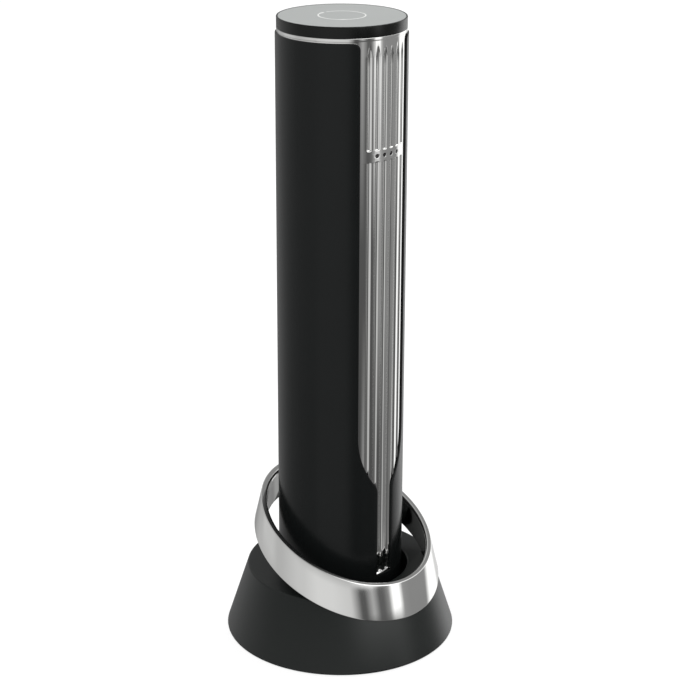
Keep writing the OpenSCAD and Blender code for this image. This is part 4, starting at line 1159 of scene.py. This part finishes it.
@dataclass
class UsbSocket:
    """The charging socket at the back: a drawn steel shell, a tongue and its contacts."""

    front_y: float = 21.2
    back_y: float = 15.2
    half_w: float = 3.7
    half_h: float = 1.35
    wall: float = 0.3
    lip: float = 0.1
    tongue_w: float = 4.8
    tongue_t: float = 0.6
    tongue_back: float = 0.6
    contacts: int = 6
    contact_pitch: float = 0.66
    contact_r: float = 0.06
    contact_half: float = 0.12
    contact_back: float = 0.5
    sides: int = 48

    def tunnel(self, rings: Sequence[tuple[float, float, float]], x: float = 0.0,
               z: float = 0.0) -> Surface:
        """Stadium-shaped rings round a line along Y, joined in order.

        A ring of half length s and radius r has the points (s sign(cos t) + r cos t, -r sin t).
        A ring of no size is a pole, so the tunnel is closed where it starts and ends with one.

        Args:
            rings: (half length, radius, y) of each ring.
            x: The line's place beside the middle.
            z: The line's height above the socket's middle.

        Returns:
            The surface.
        """
        turn = (np.arange(self.sides) + 0.5) * 2 * np.pi / self.sides
        reach, radius, y = np.array(rings, float).T[:, :, None]
        across = x + reach * np.sign(np.cos(turn)) + radius * np.cos(turn)
        height = PORT_Z + z - radius * np.sin(turn)
        return grid(np.stack(np.broadcast_arrays(across, y, height), axis=-1), loop_cols=True)

    def build(self) -> None:
        """Makes the shell, the tongue and the contacts."""
        reach = self.half_w - self.half_h
        bore = self.half_h - self.wall
        floor_y = self.back_y + self.wall
        shell = self.tunnel([
            (0, 0, self.back_y), (reach, self.half_h, self.back_y),
            (reach, self.half_h, self.front_y - self.lip), (reach, self.half_h - self.lip, self.front_y),
            (reach, bore + self.lip, self.front_y), (reach, bore, self.front_y - self.lip),
            (reach, bore, floor_y), (0, 0, floor_y)])
        make_piece("usb_shell", shell, "opener", "socket_steel", ["usb_socket"])
        half_t = self.tongue_t / 2
        tip_y = self.front_y - self.tongue_back
        slim = self.tongue_w / 2 - half_t
        tongue = self.tunnel([
            (0, 0, floor_y), (slim, half_t, floor_y), (slim, half_t, tip_y - self.lip),
            (slim, half_t - self.lip, tip_y), (0, 0, tip_y)])
        make_piece("usb_tongue", tongue, "opener", "frame_plastic")
        end_y = tip_y - self.contact_back
        contact = (self.contact_half, self.contact_r)
        bars = [
            self.tunnel([(0, 0, floor_y), (*contact, floor_y), (*contact, end_y), (0, 0, end_y)],
                        middle, side * half_t)
            for middle in centred(self.contacts) * self.contact_pitch for side in (-1, 1)]
        make_piece("usb_contacts", sum(bars[1:], bars[0]), "opener", "pinion_brass", finish=GOLD_PLATE)


@dataclass
class StandPads:
    """The stand's soft parts: the rubber foot ring and the pad that the opener stands on."""

    foot_in_r: float = 36.03
    foot_out_r: float = 39.93
    foot_h: float = 2.0
    foot_edge: float = 0.35
    pad_r: float = 26.05
    pad_z: float = 12.2
    pad_t: float = 1.2
    pad_edge: float = 0.3
    pad_rim: float = 0.4
    rib_pitch: float = 2.2
    rib_h: float = 0.25
    rib_rows: int = 140

    def build(self) -> None:
        """Makes the foot ring, and the pad with its rings of low ribs.

        The pad's top is h (1 + cos(2 pi r / p)) / 2 below its highest, and flat at the rim.
        """
        foot = turned([
            (self.foot_in_r, 0, self.foot_edge), (self.foot_out_r, 0, self.foot_edge),
            (self.foot_out_r, self.foot_h, 0), (self.foot_in_r, self.foot_h, 0)], closed=True)
        make_piece("rubber_foot_ring", foot, "stand", "foot_rubber", ["foot_ring"])
        radius = np.linspace(self.pad_r - self.pad_rim, 0, self.rib_rows)
        wave = (1 + np.cos(2 * np.pi * radius / self.rib_pitch)) / 2
        top_z = self.pad_z + self.pad_t - self.rib_h * wave
        ribs = [(r, z, 0) for r, z in zip(radius, top_z)]
        pad = turned([(0, self.pad_z, 0), (self.pad_r, self.pad_z, 0),
                      (self.pad_r, self.pad_z + self.pad_t, self.pad_edge), *ribs])
        make_piece("ribbed_socket_pad", pad, "stand", "soft_pad", ["socket_pad"])


@dataclass
class CorkWorm:
    """The corkscrew: a right-handed helix of round wire, ground to a point, with a shank."""

    tip_z: float = 41.4
    chuck_z: float = 92.0
    end_z: float = 98.0
    pitch: float = 8.8
    helix_r: float = 2.9
    wire_r: float = 1.4
    close_h: float = 6.0
    point: float = 0.12  # the tip's radius by the wire's
    steps: int = 420
    sides: int = 24

    def build(self) -> None:
        """Carries the wire's section along the helix.

        The axis of the wire is (R cos t, R sin t, z) with t = 2 pi (z - tip) / pitch. R closes
        to nothing over the last millimetres below the shank as (1 + cos) / 2.
        """
        z = np.linspace(self.tip_z, self.end_z, self.steps)
        turn = 2 * np.pi * (np.minimum(z, self.chuck_z) - self.tip_z) / self.pitch
        closing = np.clip((z - self.chuck_z + self.close_h) / self.close_h, 0, 1)
        reach = self.helix_r * (1 + np.cos(np.pi * closing)) / 2
        path = np.stack([reach * np.cos(turn), reach * np.sin(turn), z], axis=-1)
        out = np.stack([np.cos(turn), np.sin(turn), np.zeros_like(turn)], axis=-1)
        ground = np.sin(np.clip((z - self.tip_z) / self.pitch, 0, 1) * np.pi / 2)
        radius = self.wire_r * (self.point + (1 - self.point) * ground)
        wire = carried(path, out, radius, self.sides)
        make_piece("cork_worm", wire, "worm", "worm_steel", ["worm_screw"])


def dress_nodes() -> None:
    """Gives every shown CAD node the finish of its material slot."""
    for part in frame["record"]["subparts"]:
        node = frame["nodes"][part["node"]]
        finish = FINISHES[NODE_FINISH.get(part["node"], part["material_slot"])]
        if not node.material_slots:
            node.data.materials.append(None)
        for slot in node.material_slots:
            slot.link = "OBJECT"
            slot.material = finish.material()
        LOG.info("%s: %s", part["node"], finish.name)


# ---------------------------------------------------------------- studio


@dataclass(frozen=True)
class Card:
    """A screen of the studio's surround: where it stands, by azimuth, and how bright it is."""

    start: float
    end: float
    level: float


@dataclass(frozen=True)
class Band:
    """Screens side by side over a band of elevations."""

    low: float
    high: float
    cards: tuple[Card, ...]


@dataclass(frozen=True)
class Lamp:
    """A broad soft lamp: its name, its place and size in metres, and its power in watts."""

    name: str
    place: tuple[float, float, float]
    size: float
    power: float


@dataclass
class Studio:
    """Camera, floor, surround and lamps. Angles are in radians, but for those of the cards."""

    camera_mm: tuple[float, float, float] = (-477.4, -477.4, 363.5)
    heading: float = math.pi / 4 + 0.000535
    pitch: float = 0.3481
    roll: float = 0.00286
    lens: float = 100.74
    clip_end: float = 100.0
    bands: tuple[Band, ...] = (
        Band(-90, -26.1, (
            Card(-180, -124, 0.7), Card(-112, -58, 0.12), Card(-48, -4, 0.46), Card(6, 180, 0.3))),
        Band(-25.5, -23, (
            Card(-180, -124, 0.7), Card(-112, -98, 0.1), Card(-92, -88, 0.36), Card(-82, -58, 0.12),
            Card(-48, -26, 0.28), Card(-16, 12, 1.5), Card(20, 40, 0.8),
            Card(60, 70, 0.36), Card(95, 180, 0.6))),
        Band(-19, -17, (
            Card(-180, -124, 0.85), Card(-112, -74, 0.13), Card(-66, -60, 0.42), Card(-49, -21, 0.36),
            Card(-13, 10, 1.6), Card(17, 36, 0.9), Card(48, 68, 0.38), Card(95, 180, 0.66))),
        Band(-10.8, 0, (
            Card(-180, -180, 0.85), Card(-162, -144, 1.0), Card(-124, -124, 0.88), Card(-112, -107, 0.14),
            Card(-98, -98, 0.62), Card(-90, -85, 0.17), Card(-78, -78, 0.4), Card(-73, -64.5, 1.72),
            Card(-59, -59, 0.43), Card(-50, -19, 0.37), Card(-11, 9, 1.65), Card(18, 38, 1.0),
            Card(60, 70, 0.36), Card(82, 96, 0.62), Card(108, 130, 0.8), Card(140, 148, 0.68),
            Card(172, 180, 0.85))),
        Band(9, 20, (
            Card(-180, -124, 0.42), Card(-108, -70, 4.0), Card(-54, -30, 0.6), Card(-14, 12, 2.4),
            Card(22, 50, 0.3), Card(62, 90, 0.6), Card(105, 180, 0.38))),
        Band(30, 58, (Card(-180, -130, 0.35), Card(-108, -15, 1.9), Card(5, 36, 0.35), Card(56, 180, 0.7))))
    overhead: float = 0.6
    overhead_blend: float = 12.0  # degrees from the last band up to the overhead level
    soft_light: float = 0.75
    floor_half: float = 6.0
    floor_pale: float = 0.8
    floor_seen: float = 0.35
    floor_glow: float = 0.72
    lamps: tuple[Lamp, ...] = (
        Lamp("key_lamp", (-0.9, -0.5, 1.3), 0.9, 9.0), Lamp("side_lamp", (1.1, 0.3, 0.9), 0.8, 7.0))
    aim: tuple[float, float, float] = (0, 0, 0.12)

    def ramp(self, tree: Tree, azimuth: Socket, band: Band) -> Socket:
        """Brightness of a band as a ramp over the azimuth.

        Args:
            tree: Node tree to build in.
            azimuth: Azimuth from 0 to 1.
            band: The band.

        Returns:
            Colour socket.
        """
        ramp = add_node(tree, "ValToRGB", inputs={0: azimuth})
        stops = ramp.color_ramp.elements
        stops.remove(stops[1])
        levels = {edge: card.level for card in band.cards for edge in (card.start, card.end)}
        for count, (edge, level) in enumerate(sorted(levels.items())):
            stop = stops[0] if count == 0 else stops.new((edge + 180) / 360)
            stop.color = grey(level)
        return ramp.outputs[0]

    def surround(self, tree: Tree) -> Socket:
        """Brightness of the surround: the bands blend into each other over the elevation.

        Args:
            tree: The world's node tree.

        Returns:
            Colour socket.
        """
        direction = add_node(tree, "TexCoord").outputs["Generated"]
        x, y, z = add_node(tree, "SeparateXYZ", inputs={0: direction}).outputs
        azimuth = add_node(tree, "MapRange", inputs={
            "Value": calculated(tree, "ARCTAN2", y, x), "From Min": -math.pi,
            "From Max": math.pi}).outputs[0]
        elevation = calculated(tree, "ARCSINE", z)
        colour = self.ramp(tree, azimuth, self.bands[0])
        edges = [
            (below.high, above.low, self.ramp(tree, azimuth, above))
            for below, above in zip(self.bands, self.bands[1:])]
        top = self.bands[-1].high
        edges.append((top, top + self.overhead_blend, grey(self.overhead)))
        for start, end, above in edges:
            share = add_node(tree, "MapRange", inputs={
                "Value": elevation, "From Min": math.radians(start), "From Max": math.radians(end)})
            colour = blended(tree, share.outputs[0], colour, above)
        return colour

    def build_world(self) -> None:
        """White to the camera, the surround to reflections, and an even soft light to the rest."""
        world = bpy.data.worlds.new("studio_surround")
        bpy.context.scene.world = world
        tree = fresh_tree(world)
        path = add_node(tree, "LightPath").outputs
        soft, cards, white = (
            add_node(tree, "Background", inputs={"Color": colour, "Strength": strength})
            for colour, strength in (
                (grey(1), self.soft_light), (self.surround(tree), 1.0), (grey(1), 1.0)))
        seen = calculated(tree, "MAXIMUM", path["Is Camera Ray"], path["Is Transmission Ray"])
        mirrored = either(tree, path["Is Glossy Ray"], soft, cards)
        shown = either(tree, seen, mirrored, white)
        add_node(tree, "OutputWorld", inputs={"Surface": shown.outputs[0]})

    def build_floor(self) -> None:
        """A plain pale floor that keeps the object's shadow and isn't seen in reflections."""
        half = self.floor_half
        mesh = bpy.data.meshes.new("studio_floor")
        mesh.from_pydata([(-half, -half, 0), (half, -half, 0), (half, half, 0), (-half, half, 0)],
                         [], [(0, 1, 2, 3)])
        floor = in_scene("studio_floor", mesh)
        material = bpy.data.materials.new("pale_studio_floor")
        tree = fresh_tree(material)
        path = add_node(tree, "LightPath").outputs
        pale = add_node(tree, "BsdfDiffuse", inputs={"Color": grey(self.floor_pale)})
        shadowed = add_node(tree, "BsdfDiffuse", inputs={"Color": grey(self.floor_seen)})
        glow = add_node(tree, "Emission", inputs={"Color": grey(1), "Strength": self.floor_glow})
        seen = add_node(tree, "AddShader", inputs={0: shadowed.outputs[0], 1: glow.outputs[0]})
        direct = calculated(tree, "MAXIMUM", path["Is Camera Ray"], path["Is Transmission Ray"])
        shown = either(tree, direct, pale, seen)
        add_node(tree, "OutputMaterial", inputs={"Surface": shown.outputs[0]})
        floor.visible_glossy = False
        mesh.materials.append(material)

    def build_lamps(self) -> None:
        """The lamps, each turned towards the object and left out of reflections."""
        for lamp in self.lamps:
            light = bpy.data.lights.new(lamp.name, "AREA")
            light.size = lamp.size
            light.energy = lamp.power
            shown = in_scene(lamp.name, light)
            towards = Vector(self.aim) - Vector(lamp.place)
            turn = towards.to_track_quat("-Z", "Y").to_matrix().to_4x4()
            shown.matrix_world = Matrix.Translation(lamp.place) @ turn
            shown.visible_glossy = False

    def build_camera(self) -> None:
        """The camera: it looks along +X +Y and down, with a slight roll."""
        level = Vector((math.cos(self.heading), math.sin(self.heading), 0))
        ahead = level * math.cos(self.pitch) - Vector((0, 0, math.sin(self.pitch)))
        right = level.cross(Vector((0, 0, 1)))
        up = right.cross(ahead)
        rolled_right = right * math.cos(self.roll) + up * math.sin(self.roll)
        rolled_up = up * math.cos(self.roll) - right * math.sin(self.roll)
        data = bpy.data.cameras.new("camera")
        data.lens = self.lens
        data.clip_end = self.clip_end
        camera = in_scene("camera", data)
        turn = Matrix((rolled_right, rolled_up, -ahead)).transposed().to_4x4()
        camera.matrix_world = Matrix.Translation(Vector(self.camera_mm) * MM) @ turn
        bpy.context.scene.camera = camera

    def build(self) -> None:
        """Sets up the whole studio."""
        bpy.context.scene.view_settings.view_transform = "Standard"
        self.build_camera()
        self.build_world()
        self.build_floor()
        self.build_lamps()


def main() -> None:
    """Builds the studio and the pieces."""
    logging.basicConfig(level=logging.INFO, format="%(name)s: %(message)s")
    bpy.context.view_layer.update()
    Studio().build()
    dress_nodes()
    ring = ChromeRing()
    ring.build()
    StandBase(ring=ring).build()
    StandPads().build()
    Sleeve().build()
    FlutedTube().build()
    Cap().build()
    UsbSocket().build()
    CorkWorm().build()


if __name__ == "__main__":
    main()
